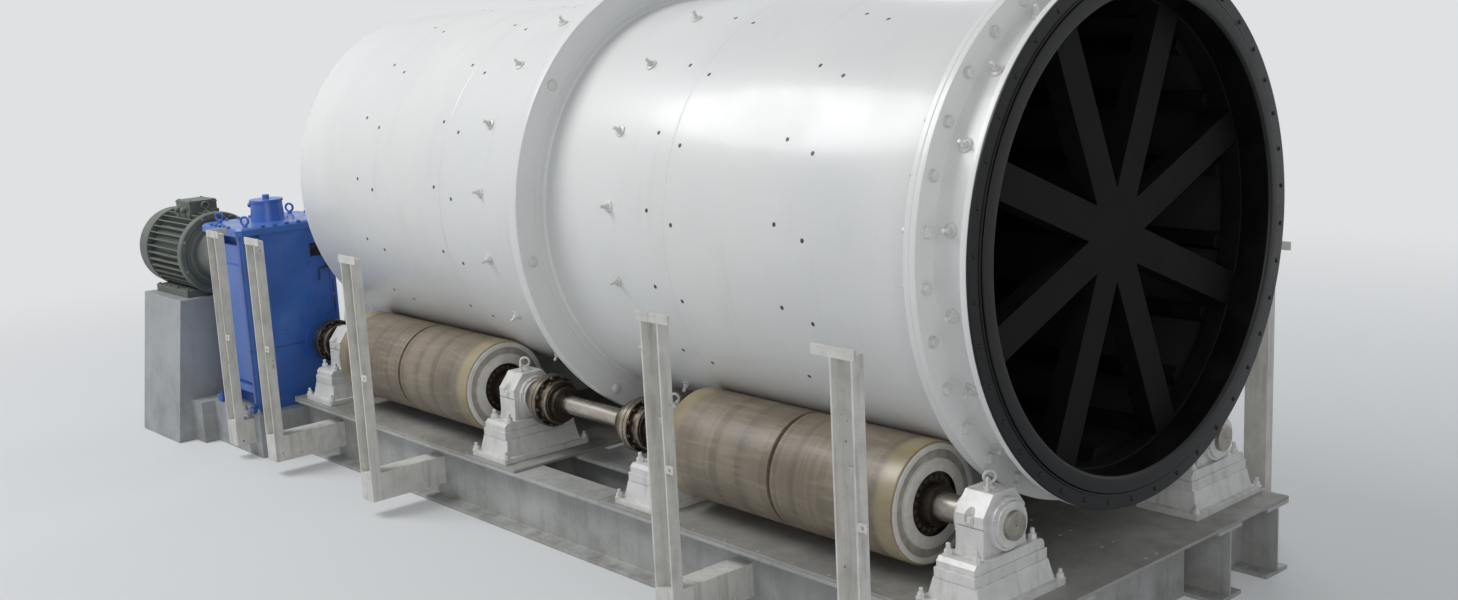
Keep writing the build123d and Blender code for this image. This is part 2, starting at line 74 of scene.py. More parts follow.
def gridFaces(rows, columns, wrapRows, wrapColumns):
    # four-cornered faces between neighbours of a rows x columns grid of points
    i = np.arange(rows if wrapRows else rows - 1)
    j = np.arange(columns if wrapColumns else columns - 1)
    i, j = np.meshgrid(i, j, indexing="ij")
    nextI, nextJ = (i + 1) % rows, (j + 1) % columns
    corners = [i * columns + j, nextI * columns + j, nextI * columns + nextJ, i * columns + nextJ]
    return np.stack(corners, -1).reshape(-1, 4)


def latheX(outline, segments, y, z, turn=0.0):
    # closed outline of (x, radius) swept round an axis along X: (x, y + radius cos a, z + radius sin a)
    outline = np.asarray(outline, float)
    a = np.arange(segments) * 2 * pi / segments + turn
    x, radius = outline[:, 0, None], outline[:, 1, None]
    grid = np.stack(np.broadcast_arrays(x, y + radius * np.cos(a), z + radius * np.sin(a)), -1)
    return grid.reshape(-1, 3), [gridFaces(len(outline), segments, True, True)]


def latheZ(outline, segments, turn=0.0):
    # open outline of (radius, z) swept round Z: (radius cos a, radius sin a, z); one flat face closes each end
    outline = np.asarray(outline, float)
    a = np.arange(segments) * 2 * pi / segments + turn
    radius, z = outline[:, 0, None], outline[:, 1, None]
    grid = np.stack(np.broadcast_arrays(radius * np.cos(a), radius * np.sin(a), z), -1).reshape(-1, 3)
    around = np.arange(segments)
    ends = np.stack([around[::-1], around + (len(outline) - 1) * segments])
    return grid, [gridFaces(len(outline), segments, False, True)[:, ::-1], ends]


def skin(outlines, heights):
    # flat (x, y) outlines of one length, each at its height, joined level by level and closed at both ends
    levels, n = len(outlines), len(outlines[0])
    points = np.concatenate([np.c_[outline, np.full(n, height)] for outline, height in zip(outlines, heights)])
    i = np.arange(n)
    return points, [gridFaces(levels, n, False, True)[:, ::-1], np.stack([i[::-1], i + (levels - 1) * n])]


def slab(lo, hi):
    # box between two opposite corners
    outline = [(lo[0], lo[1]), (hi[0], lo[1]), (hi[0], hi[1]), (lo[0], hi[1])]
    return skin([outline, outline], (lo[2], hi[2]))


def alongX(outline, x0, x1):
    # flat (y, z) outline carried from x0 to x1
    points, faces = skin([outline, outline], (x0, x1))
    return points[:, [2, 0, 1]], faces


def circle(radius, count=64, y=0.0, z=0.0):
    # flat (y, z) outline: (y + radius cos a, z + radius sin a)
    a = np.arange(count) * 2 * pi / count
    return np.c_[y + radius * np.cos(a), z + radius * np.sin(a)]


def tubeAlong(path, radius, sides=10, closed=False, reference=(1, 0, 0)):
    # point + radius (cos a side + sin a lift): side is the tangent crossed with a fixed reference direction
    path = np.asarray(path, float)
    if closed:
        tangent = np.roll(path, -1, axis=0) - np.roll(path, 1, axis=0)
    else:
        tangent = np.gradient(path, axis=0)
    side = np.cross(tangent, reference)
    lift = np.cross(tangent, side)
    side = (side / np.linalg.norm(side, axis=1, keepdims=True))[:, None]
    lift = (lift / np.linalg.norm(lift, axis=1, keepdims=True))[:, None]
    a = (np.arange(sides) * 2 * pi / sides)[None, :, None]
    grid = path[:, None] + radius * (np.cos(a) * side + np.sin(a) * lift)
    faces = [gridFaces(len(path), sides, closed, True)[:, ::-1]]
    if not closed:
        around = np.arange(sides)
        faces.append(np.stack([around[::-1], around + (len(path) - 1) * sides]))
    return grid.reshape(-1, 3), faces


def joined(shapes):
    # shapes as one: the corner numbers of each are moved past the points before it
    starts = np.cumsum([0] + [len(points) for points, faces in shapes])
    faces = [table + start for (points, tables), start in zip(shapes, starts) for table in tables]
    return np.concatenate([points for points, tables in shapes]), faces


def copies(shape, places):
    # the shape set down at each place: turned by the place's 3 x 3 part, then moved by its last column
    points, faces = shape
    places = np.asarray(places, float)
    moved = np.einsum("kij,nj->kni", places[:, :3, :3], points) + places[:, None, :3, 3]
    step = (len(points) * np.arange(len(places)))[:, None, None]
    return moved.reshape(-1, 3), [(table[None] + step).reshape(-1, table.shape[1]) for table in faces]


def placesAt(origins, outward=(0, 0, 1), along=(1, 0, 0)):
    # places whose Z points outward and whose X lies as near to `along` as it can
    origins = np.atleast_2d(np.asarray(origins, float))
    z = np.broadcast_to(np.asarray(outward, float), origins.shape)
    z = z / np.linalg.norm(z, axis=1, keepdims=True)
    along = np.broadcast_to(np.asarray(along, float), origins.shape)
    x = along - np.sum(along * z, axis=1, keepdims=True) * z
    x = x / np.linalg.norm(x, axis=1, keepdims=True)
    places = np.zeros((len(origins), 4, 4))
    places[:, :3, 0], places[:, :3, 1], places[:, :3, 2] = x, np.cross(z, x), z
    places[:, :3, 3], places[:, 3, 3] = origins, 1
    return places


def ringPlaces(count, first, x, radius, outward, y=0.0, z=0.0):
    # places on a circle about an axis along X: pointing out from it (outward 0) or along X (outward 1 or -1)
    a = np.radians(first + np.arange(count) * 360 / count)
    spoke = np.stack([np.zeros(count), np.cos(a), np.sin(a)], -1)
    centre = np.array([x, y, z])
    if outward == 0:
        return placesAt(centre + radius * spoke, spoke, (1, 0, 0))
    return placesAt(centre + radius * spoke, (outward, 0, 0), spoke)


def meshFrom(name, shape):
    # a mesh of the shape's points and faces, filled from whole arrays
    points, faces = shape
    corners = np.concatenate([table.ravel() for table in faces]).astype(np.int32)
    sizes = np.concatenate([np.full(len(table), table.shape[1]) for table in faces])
    mesh = bpy.data.meshes.new(name)
    mesh.vertices.add(len(points))
    mesh.vertices.foreach_set("co", np.asarray(points, np.float32).ravel())
    mesh.loops.add(len(corners))
    mesh.loops.foreach_set("vertex_index", corners)
    mesh.polygons.add(len(sizes))
    mesh.polygons.foreach_set("loop_start", (np.cumsum(sizes) - sizes).astype(np.int32))
    mesh.update(calc_edges=True)
    mesh.validate()
    return mesh


def carved(solid, cutters):
    # the solid with the cutters taken out of it by Blender's exact boolean
    things = [bpy.data.objects.new("carving", meshFrom("carving", shape)) for shape in (solid, joined(cutters))]
    for thing in things:
        bpy.context.scene.collection.objects.link(thing)
    cut = things[0].modifiers.new("cut", "BOOLEAN")
    cut.operation, cut.solver, cut.use_self, cut.object = "DIFFERENCE", "EXACT", True, things[1]
    mesh = bpy.data.meshes.new_from_object(things[0].evaluated_get(bpy.context.evaluated_depsgraph_get()))
    points = np.empty((len(mesh.vertices), 3))
    corners, sizes = np.empty(len(mesh.loops), int), np.empty(len(mesh.polygons), int)
    mesh.vertices.foreach_get("co", points.ravel())
    mesh.loops.foreach_get("vertex_index", corners)
    mesh.polygons.foreach_get("loop_total", sizes)
    for thing in things:
        bpy.data.objects.remove(thing)
    starts = np.cumsum(sizes) - sizes
    return points, [corners[starts[sizes == n][:, None] + np.arange(n)] for n in np.unique(sizes)]


def newPiece(name, body, shape, finish, replaced=(), sharp=35, bevel=0.0):
    # the shape becomes a mesh object at the origin that rides on a body, with a finish by its name
    mesh = meshFrom(name, shape)
    mesh.shade_smooth()
    mesh.set_sharp_from_angle(angle=radians(sharp))
    piece = bpy.data.objects.new(name, mesh)
    bpy.context.scene.collection.objects.link(piece)
    mesh.materials.append(finishes[finish])
    if bevel:
        edge = piece.modifiers.new("edges", "BEVEL")
        edge.width, edge.segments, edge.limit_method, edge.angle_limit = bevel, 2, "ANGLE", radians(30)
        edge.harden_normals = True
    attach(piece, body)
    if replaced:
        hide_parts(*replaced)


def dressNode(name, finish, bevel=0.003):
    # a CAD node gets its finish, and its edges a small round
    piece = nodes[name]
    piece.data.materials.clear()
    piece.data.materials.append(finishes[finish])
    piece.data.polygons.foreach_set("use_smooth", np.ones(len(piece.data.polygons), bool))
    weld = piece.modifiers.new("weld", "WELD")
    weld.merge_threshold = 0.00005
    if bevel:
        edge = piece.modifiers.new("edges", "BEVEL")
        edge.width, edge.segments, edge.limit_method, edge.angle_limit = bevel, 2, "ANGLE", radians(32)
        edge.use_clamp_overlap = True
        piece.modifiers.new("shading", "WEIGHTED_NORMAL").keep_sharp = True


# Finishes

def linearColour(hexValue):
    # sRGB to linear: c / 12.92 below 0.04045, else ((c + 0.055) / 1.055) to the power 2.4
    c = np.array([int(hexValue[i:i + 2], 16) for i in (1, 3, 5)]) / 255
    return (*np.where(c <= 0.04045, c / 12.92, ((c + 0.055) / 1.055) ** 2.4).tolist(), 1.0)


def addNode(tree, kind, settings=None, links=None):
    # a shader node: settings are its attributes or sockets by name or number, links feed its inputs
    node = tree.nodes.new("ShaderNode" + kind)
    settings = settings or {}
    attributes = [key for key in settings if isinstance(key, str) and hasattr(node, key)]
    for key in attributes:
        setattr(node, key, settings[key])
    for key in settings.keys() - set(attributes):
        node.inputs[key].default_value = settings[key]
    for key, socket in (links or {}).items():
        tree.links.new(socket, node.inputs[key])
    return node


def newFinish(name):
    # a material with its shader and output, and the object coordinates that its patterns read
    finish = bpy.data.materials.new(name)
    finish.use_nodes = True
    tree = finish.node_tree
    tree.nodes.clear()
    shader = addNode(tree, "BsdfPrincipled", {"IOR": 1.5})
    addNode(tree, "OutputMaterial", None, {"Surface": shader.outputs[0]})
    place = addNode(tree, "TexCoord").outputs["Object"]
    return finish, tree, shader, place


def cloudMask(tree, vector, size, detail, span, most=1.0, rough=0.5):
    # patches about `size` millimetres across: noise that counts from 0 at span[0] up to `most` at span[1]
    noise = addNode(tree, "TexNoise", {"Scale": 1000 / size, "Detail": detail, "Roughness": rough},
                    {"Vector": vector})
    share = addNode(tree, "MapRange", {"From Min": span[0], "From Max": span[1], "To Max": most},
                    {"Value": noise.outputs[0]})
    return share.outputs[0], noise.outputs[0]


def cloudLayer(tree, under, over, vector, *mask):
    # patches of a second colour on the first, a hex value or the layer below, given with their share and noise
    share, noise = cloudMask(tree, vector, *mask)
    layer = addNode(tree, "Mix", {"data_type": "RGBA", 7: linearColour(over)}, {0: share})
    if isinstance(under, str):
        layer.inputs[6].default_value = linearColour(under)
    else:
        tree.links.new(under, layer.inputs[6])
    return layer.outputs[2], share, noise


def closeFinish(tree, shader, colour, wear, roughs, span=(0.0, 1.0), height=None, bump=0.0, sockets=()):
    # colour, roughness from roughs[0] to roughs[1] as the wear crosses its span, and relief 1 mm high at bump 1
    rough = addNode(tree, "MapRange", {"From Min": span[0], "From Max": span[1], "To Min": roughs[0],
                                       "To Max": roughs[1]}, {"Value": wear})
    tree.links.new(colour, shader.inputs["Base Color"])
    tree.links.new(rough.outputs[0], shader.inputs["Roughness"])
    if height:
        relief = addNode(tree, "Bump", {"Strength": bump, "Distance": 0.001}, {"Height": height})
        tree.links.new(relief.outputs[0], shader.inputs["Normal"])
    for socket, value in sockets:
        shader.inputs[socket].default_value = value


def paintFinish(name, look):
    # enamel: slow tone drift, run-off streaks down Z, dust that lies thicker on faces that look up and near the
    # ground, and chips where the look asks for them
    finish, tree, shader, place = newFinish(name)
    colour = cloudLayer(tree, look["colour"], look["shade"], place, look["toneSize"], 3.0, (0.3, 0.7))[0]
    drawn = addNode(tree, "Mapping", {"Scale": (1, 1, 0.1)}, {"Vector": place})
    colour = cloudLayer(tree, colour, look["dirt"], drawn.outputs[0], look["streakSize"], 6.0, (0.52, 0.78),
                        look["streaks"])[0]
    facing = addNode(tree, "SeparateXYZ", None, {0: addNode(tree, "NewGeometry").outputs["Normal"]})
    upward = addNode(tree, "MapRange", {"From Min": 0.5, "From Max": 0.95, "To Max": look.get("topDust", 0.0)},
                     {"Value": facing.outputs[2]})
    height = addNode(tree, "SeparateXYZ", None, {0: place})
    splash = addNode(tree, "MapRange", {"From Min": look.get("splashTop", 0.5), "From Max": 0.0,
                                        "To Max": look.get("splash", 0.0)}, {"Value": height.outputs[2]})
    amount = addNode(tree, "Math", {"operation": "ADD"}, {0: upward.outputs[0], 1: splash.outputs[0]})
    amount = addNode(tree, "Math", {"operation": "ADD", 1: look["dust"]}, {0: amount.outputs[0]})
    grain = addNode(tree, "TexNoise", {"Scale": 1000 / look["dustSize"], "Detail": 7.0, "Roughness": 0.68},
                    {"Vector": place})
    patches = addNode(tree, "MapRange",
                      {"interpolation_type": "SMOOTHSTEP", "From Min": 0.36, "From Max": 0.72},
                      {"Value": grain.outputs[0]})
    dust = addNode(tree, "Math", {"operation": "MULTIPLY", "use_clamp": True},
                   {0: amount.outputs[0], 1: patches.outputs[0]}).outputs[0]
    colour = addNode(tree, "Mix", {"data_type": "RGBA", 7: linearColour(look["dirt"])},
                     {0: dust, 6: colour}).outputs[2]
    if look.get("chips"):
        colour = cloudLayer(tree, colour, look["under"], place, look["chipSize"], 4.0,
                            (look["chips"], look["chips"] + 0.03), 1.0, 0.6)[0]
    peel = addNode(tree, "TexNoise", {"Scale": 1000 / look.get("skin", 14), "Detail": 3.0}, {"Vector": place})
    closeFinish(tree, shader, colour, dust, (look["rough"], look["rough"] + 0.25), (0.0, 0.5), peel.outputs[0],
                look.get("bump", 0.08), [("Coat Weight", look.get("coat", 0.0)), ("Coat Roughness", 0.08)])
    return finish


def drumFinish(name, look):
    # sprayed enamel on rolled plate: rubbed bands round the drum where the driving rollers carry it, dull
    # patches and a few grey scuffs drawn out round the shell
    finish, tree, shader, place = newFinish(name)
    centred = addNode(tree, "Mapping", {"Location": (0, 0, -machine["drumZ"])}, {"Vector": place})
    parts = addNode(tree, "SeparateXYZ", None, {0: centred.outputs[0]})
    turn = addNode(tree, "Math", {"operation": "ARCTAN2"}, {0: parts.outputs[2], 1: parts.outputs[1]})
    rolled = addNode(tree, "CombineXYZ", None, {0: parts.outputs[0], 1: turn.outputs[0]})
    colour = cloudLayer(tree, look["colour"], look["shade"], place, look["toneSize"], 4.0, (0.32, 0.7))[0]
    drawn = addNode(tree, "Mapping", {"Scale": (1, 0.12, 1)}, {"Vector": rolled.outputs[0]})
    scuff = cloudMask(tree, drawn.outputs[0], look["scuffSize"], 7.0, (0.58, 0.8), look["scuffs"], 0.6)[0]
    reach = addNode(tree, "Math", {"operation": "ABSOLUTE"}, {0: parts.outputs[0]})
    fromBand = addNode(tree, "Math", {"operation": "SUBTRACT", 1: look["bandAt"]}, {0: reach.outputs[0]})
    offBand = addNode(tree, "Math", {"operation": "ABSOLUTE"}, {0: fromBand.outputs[0]})
    band = addNode(tree, "MapRange", {"From Min": 0.93, "From Max": 0.80, "To Max": look["band"]},
                   {"Value": offBand.outputs[0]})
    marks = addNode(tree, "Math", {"operation": "ADD"}, {0: scuff, 1: band.outputs[0]})
    colour = addNode(tree, "Mix", {"data_type": "RGBA", 7: linearColour(look["dirt"])},
                     {0: marks.outputs[0], 6: colour}).outputs[2]
    colour, runs = cloudLayer(tree, colour, look["dirt"], place, look["dustSize"], 6.0, (0.45, 0.75),
                              look["dust"], 0.65)[::2]
    waves = addNode(tree, "TexNoise", {"Scale": 1000 / look["skin"], "Detail": 2.0}, {"Vector": place})
    closeFinish(tree, shader, colour, runs, (look["rough"], look["rough"] + 0.14), (0.4, 0.72),
                waves.outputs[0], 0.025, [("Coat Weight", look["coat"]), ("Coat Roughness", 0.12)])
    return finish


def castFinish(name, look):
    # cast polyurethane on a roller: matt taupe where it runs, paler and half clear towards its free ends
    finish, tree, shader, place = newFinish(name)
    parts = addNode(tree, "SeparateXYZ", None, {0: place})
    reach = addNode(tree, "Math", {"operation": "ABSOLUTE"}, {0: parts.outputs[0]})
    waver = addNode(tree, "TexNoise", {"Scale": 1000 / 180, "Detail": 3.0}, {"Vector": place})
    edge = addNode(tree, "Math", {"operation": "MULTIPLY_ADD", 1: 0.05},
                   {0: waver.outputs[0], 2: reach.outputs[0]})
    inner = addNode(tree, "MapRange", {"interpolation_type": "SMOOTHSTEP", "From Min": look["near"] + 0.19,
                                       "From Max": look["near"] + 0.10}, {"Value": edge.outputs[0]})
    outer = addNode(tree, "MapRange", {"interpolation_type": "SMOOTHSTEP", "From Min": look["far"] - 0.13,
                                       "From Max": look["far"] - 0.04}, {"Value": edge.outputs[0]})
    ends = addNode(tree, "Math", {"operation": "MAXIMUM"},
                   {0: inner.outputs[0], 1: outer.outputs[0]}).outputs[0]
    drawn = addNode(tree, "Mapping", {"Scale": (0.6, 1, 1)}, {"Vector": place})
    colour, tone = cloudLayer(tree, look["colour"], look["shade"], drawn.outputs[0], 300, 4.0, (0.34, 0.66))[:2]
    # the darker bands round the tyre, spaced along its length, are painted shadow
    rings = addNode(tree, "TexNoise", {"noise_dimensions": "1D", "Scale": 9.0, "Detail": 5.0, "Roughness": 0.6},
                    {"W": reach.outputs[0]})
    paintedShadowBands = addNode(tree, "MapRange", {"From Min": 0.46, "From Max": 0.66, "To Max": 0.45},
                     {"Value": rings.outputs[0]})
    colour = addNode(tree, "Mix", {"data_type": "RGBA", 7: linearColour(look["shadowBand"])},
                     {0: paintedShadowBands.outputs[0], 6: colour}).outputs[2]
    rub = addNode(tree, "Mapping", {"Scale": (0.15, 1, 1)}, {"Vector": place}).outputs[0]
    colour = cloudLayer(tree, colour, look["dust"], rub, 34, 6.0, (0.5, 0.75), 0.35)[0]
    clear = addNode(tree, "Mix", {"data_type": "RGBA", 6: linearColour(look["amber"]),
                                  7: linearColour(look["olive"])}, {0: tone})
    colour = addNode(tree, "Mix", {"data_type": "RGBA"}, {0: ends, 6: colour, 7: clear.outputs[2]}).outputs[2]
    grain = addNode(tree, "TexNoise", {"Scale": 1000 / 9, "Detail": 4.0}, {"Vector": rub})
    closeFinish(tree, shader, colour, ends, (0.44, 0.32), (0.0, 1.0), grain.outputs[0], 0.12,
                [("Subsurface Weight", 0.12), ("Subsurface Scale", 0.02)])
    return finish


def redFinish(name, look):
    # red polyurethane: paler on the end that looks up as a painted highlight, scuffed pale in short upright
    # marks round the side
    finish, tree, shader, place = newFinish(name)
    facing = addNode(tree, "SeparateXYZ", None, {0: addNode(tree, "NewGeometry").outputs["Normal"]})
    top = addNode(tree, "MapRange", {"From Min": 0.35, "From Max": 0.9}, {"Value": facing.outputs[2]})
    colour = cloudLayer(tree, look["colour"], look["shade"], place, 120, 4.0, (0.32, 0.68))[0]
    drawn = addNode(tree, "Mapping", {"Scale": (1, 1, 0.35)}, {"Vector": place})
    colour, scuff, marks = cloudLayer(tree, colour, look["scuff"], drawn.outputs[0], 30, 6.0, (0.56, 0.68), 0.7,
                                      0.62)
    # faces that look up are mixed towards a paler red: a painted highlight
    colour = addNode(tree, "Mix", {"data_type": "RGBA", 7: linearColour(look["paintedTopLight"])},
                     {0: top.outputs[0], 6: colour}).outputs[2]
    closeFinish(tree, shader, colour, scuff, (0.34, 0.55), (0.0, 1.0), marks, 0.1,
                [("Subsurface Weight", 0.08), ("Subsurface Scale", 0.01)])
    return finish


def rubberFinish(name, look):
    # moulded rubber: near black, dull, with dried slurry as a thin grey film
    finish, tree, shader, place = newFinish(name)
    colour, film = cloudLayer(tree, look["colour"], look["dust"], place, look["filmSize"], 6.0, (0.45, 0.75),
                              look["film"], 0.65)[:2]
    grain = addNode(tree, "TexNoise", {"Scale": 1000 / 18, "Detail": 4.0}, {"Vector": place})
    closeFinish(tree, shader, colour, film, (look["rough"], look["rough"] + 0.35), (0.0, 1.0), grain.outputs[0],
                0.15, [("Specular IOR Level", look["sheen"])])
    return finish


def turnedFinish(name, look):
    # a turned part on a row's axle: what it shows depends on how far from the axle it is, from greased steel
    # near the shaft to bright machined rims or, on a roller's end plate, enamel with dirt and painted shade in
    # its groove
    finish, tree, shader, place = newFinish(name)
    parts = addNode(tree, "SeparateXYZ", None, {0: place})
    aside = addNode(tree, "Math", {"operation": "ABSOLUTE"}, {0: parts.outputs[1]})
    across = addNode(tree, "Math", {"operation": "SUBTRACT", 1: machine["rowY"]}, {0: aside.outputs[0]})
    above = addNode(tree, "Math", {"operation": "SUBTRACT", 1: machine["axleZ"]}, {0: parts.outputs[2]})
    flat = addNode(tree, "CombineXYZ", None, {0: across.outputs[0], 1: above.outputs[0]})
    radius = addNode(tree, "VectorMath", {"operation": "LENGTH"}, {0: flat.outputs[0]})
    patch = cloudMask(tree, place, look["patchSize"], 6.0, (0.36, 0.66), 1.0, 0.6)[0]
    stops = [stop[0] / look["reach"] for stop in look["stops"]]
    scaled = addNode(tree, "Math", {"operation": "MULTIPLY", 1: 1 / look["reach"]}, {0: radius.outputs[1]})
    ramps = []
    for column in (1, 2, 3):  # clean colour, dirty colour, and roughness with metal in its blue
        ramp = addNode(tree, "ValToRGB", None, {0: scaled.outputs[0]})
        ramp.color_ramp.interpolation = "CONSTANT"
        ramp.color_ramp.elements[1].position = stops[1]
        for number, at in enumerate(stops):
            element = ramp.color_ramp.elements[number] if number < 2 else ramp.color_ramp.elements.new(at)
            value = look["stops"][number][column]
            element.color = linearColour(value) if isinstance(value, str) else (value[0], 0, value[1], 1)
        ramps.append(ramp.outputs[0])
    share = addNode(tree, "Math", {"operation": "MULTIPLY", 1: look["dirt"]}, {0: patch})
    colour = addNode(tree, "Mix", {"data_type": "RGBA"}, {0: share.outputs[0], 6: ramps[0], 7: ramps[1]})
    tree.links.new(colour.outputs[2], shader.inputs["Base Color"])
    surface = addNode(tree, "SeparateColor", None, {0: ramps[2]})
    rough = addNode(tree, "Math", {"operation": "MULTIPLY_ADD", 1: 0.2},
                    {0: share.outputs[0], 2: surface.outputs[0]})
    tree.links.new(rough.outputs[0], shader.inputs["Roughness"])
    tree.links.new(surface.outputs[2], shader.inputs["Metallic"])
    lines = addNode(tree, "TexNoise", {"noise_dimensions": "1D", "Scale": 260.0, "Detail": 2.0},
                    {"W": parts.outputs[0]})
    bump = addNode(tree, "Bump", {"Strength": 0.12, "Distance": 0.0006}, {"Height": lines.outputs[0]})
    tree.links.new(bump.outputs[0], shader.inputs["Normal"])
    return finish


def glassFinish(name, look):
    # dark window in a housing: oil-stained glass, near black as painted shade of the unlit inside
    finish, tree, shader, place = newFinish(name)
    colour, film = cloudLayer(tree, look["colour"], look["film"], place, 35, 5.0, (0.4, 0.7))[:2]
    closeFinish(tree, shader, colour, film, (0.06, 0.3))
    return finish


finishes = {
    "drumEnamel": drumFinish("drumEnamel", {  # glossy sprayed white enamel on rolled plate
        "colour": "#E2E2E0", "shade": "#D9DAD9", "dirt": "#8F897C", "toneSize": 1400, "scuffSize": 150,
        "scuffs": 0.12, "band": 0.03, "bandAt": 1.965, "dust": 0.05, "dustSize": 500, "rough": 0.3, "skin": 90,
        "coat": 0.16}),
    "whiteEnamel": paintFinish("whiteEnamel", {  # white enamel on castings, with grease and handling marks
        "colour": "#E1E0DD", "shade": "#D2D2CF", "dirt": "#6E675B", "toneSize": 260, "streakSize": 40,
        "streaks": 0.28, "dust": 0.16, "dustSize": 120, "topDust": 0.12, "rough": 0.32, "bump": 0.22, "skin": 9,
        "coat": 0.15}),
    "saddleEnamel": paintFinish("saddleEnamel", {  # fresh white enamel on the catch plates
        "colour": "#E3E3E0", "shade": "#D6D7D5", "dirt": "#8A857A", "toneSize": 500, "streakSize": 70,
        "streaks": 0.12, "dust": 0.12, "dustSize": 200, "rough": 0.28, "bump": 0.06, "skin": 20}),
    "frameEnamel": paintFinish("frameEnamel", {  # light grey enamel on welded beams
        "colour": "#B4B5B3", "shade": "#A5A7A5", "dirt": "#6A6457", "toneSize": 700, "streakSize": 60,
        "streaks": 0.35, "dust": 0.22, "dustSize": 260, "topDust": 0.2, "splash": 0.35, "splashTop": 0.4,
        "rough": 0.42, "bump": 0.08}),
    "deckEnamel": paintFinish("deckEnamel", {  # walked-on grey deck plate with dust and scuffs
        "colour": "#A4A39E", "shade": "#93928D", "dirt": "#6B6558", "toneSize": 600, "streakSize": 120,
        "streaks": 0.2, "dust": 0.2, "dustSize": 320, "topDust": 0.35, "rough": 0.45, "bump": 0.12}),
    "plinthEnamel": paintFinish("plinthEnamel", {  # light grey enamel on the drive stands
        "colour": "#A9ACAE", "shade": "#999C9E", "dirt": "#655F54", "toneSize": 800, "streakSize": 80,
        "streaks": 0.3, "dust": 0.2, "dustSize": 280, "topDust": 0.25, "splash": 0.35, "splashTop": 0.6,
        "rough": 0.4, "bump": 0.06}),
    "postEnamel": paintFinish("postEnamel", {  # warm light grey primer on the posts, chipped to rust
        "colour": "#DAD9D4", "shade": "#CBC9C3", "dirt": "#6F6455", "toneSize": 300, "streakSize": 40,
        "streaks": 0.38, "dust": 0.22, "dustSize": 130, "rough": 0.5, "bump": 0.14,
        "chips": 0.70, "chipSize": 46, "under": "#6B3A20"}),
    "blueEnamel": paintFinish("blueEnamel", {  # mid blue gloss enamel on cast housings
        "colour": "#3E71C6", "shade": "#335FAE", "dirt": "#5B6880", "toneSize": 420, "streakSize": 50,
        "streaks": 0.22, "dust": 0.16, "dustSize": 150, "topDust": 0.25, "rough": 0.28, "bump": 0.16,
        "skin": 10, "coat": 0.25}),
    "motorEnamel": paintFinish("motorEnamel", {  # grey green enamel on ribbed castings, dusty
        "colour": "#626B66", "shade": "#545D59", "dirt": "#857E70", "toneSize": 300, "streakSize": 50,
        "streaks": 0.2, "dust": 0.3, "dustSize": 110, "topDust": 0.4, "rough": 0.48, "bump": 0.2, "skin": 8}),
    "castTyre": castFinish("castTyre", {  # taupe polyurethane tyre of the driving rollers, with painted shadow bands
        "colour": "#887C6C", "shade": "#73685A", "shadowBand": "#4F473C", "dust": "#A89E8B", "amber": "#A79B80",
        "olive": "#86795A", "near": 1.065, "far": 2.865}),
    "castRed": redFinish("castRed", {  # red polyurethane tyre of the thrust rollers, paler on top as a painted highlight
        "colour": "#AC3B3A", "shade": "#98302F", "scuff": "#C98F8C", "paintedTopLight": "#C98873"}),
    "wearRubber": rubberFinish("wearRubber", {  # black wear rubber of the lining
        "colour": "#0A0A0B", "dust": "#1D1C1A", "film": 0.4, "filmSize": 240, "rough": 0.62, "sheen": 0.12}),
    "mouthRubber": rubberFinish("mouthRubber", {  # smooth black rubber of the mouth ring
        "colour": "#0B0B0C", "dust": "#232323", "film": 0.3, "filmSize": 150, "rough": 0.34, "sheen": 0.3}),
    "couplingSteel": turnedFinish("couplingSteel", {  # oily steel of the couplings, brown in the recesses
        "reach": 0.2, "patchSize": 70, "dirt": 0.75, "stops": [  # radius, clean, dirty, (roughness, metal)
            (0.0, "#5A5148", "#15110E", (0.34, 0.85)), (0.1325, "#8B8074", "#3A3029", (0.27, 1.0)),
            (0.151, "#4A4038", "#191410", (0.32, 0.9)), (0.1665, "#A39A8C", "#5B4F43", (0.24, 1.0))]}),
    "rollerEnamel": turnedFinish("rollerEnamel", {  # enamelled end plates round a greased hub well, with painted shade in their groove
        "reach": 0.34, "patchSize": 60, "dirt": 0.4, "stops": [
            (0.0, "#A9A49B", "#6B6257", (0.3, 1.0)), (0.0765, "#4B4037", "#14100D", (0.3, 0.7)),
            # the fourth stop, the plate's groove, is darker than the rims beside it: painted shade as well as
            # dirt
            (0.1715, "#D6D4CE", "#A39D91", (0.38, 0.0)), (0.2405, "#A8A296", "#5F574B", (0.5, 0.0)),
            (0.2855, "#D9D8D4", "#ABA69B", (0.36, 0.0))]}),
    "shaftSteel": turnedFinish("shaftSteel", {  # bright ground shaft under thin oil
        "reach": 0.2, "patchSize": 90, "dirt": 0.4, "stops": [
            (0.0, "#B9B4AA", "#857B6C", (0.24, 1.0)), (0.1, "#B9B4AA", "#857B6C", (0.24, 1.0))]}),
    "boltSteel": paintFinish("boltSteel", {  # blackened bolts, dull with grease and dust
        "colour": "#3B3733", "shade": "#2A2724", "dirt": "#6A6155", "toneSize": 40, "streakSize": 20,
        "streaks": 0.2, "dust": 0.3, "dustSize": 25, "rough": 0.4, "bump": 0.2, "skin": 5}),
    "darkGlass": glassFinish("darkGlass", {"colour": "#0C0E14", "film": "#2B2E36"}),
}
print("finishes made:", len(finishes))


# Small shapes used in many places

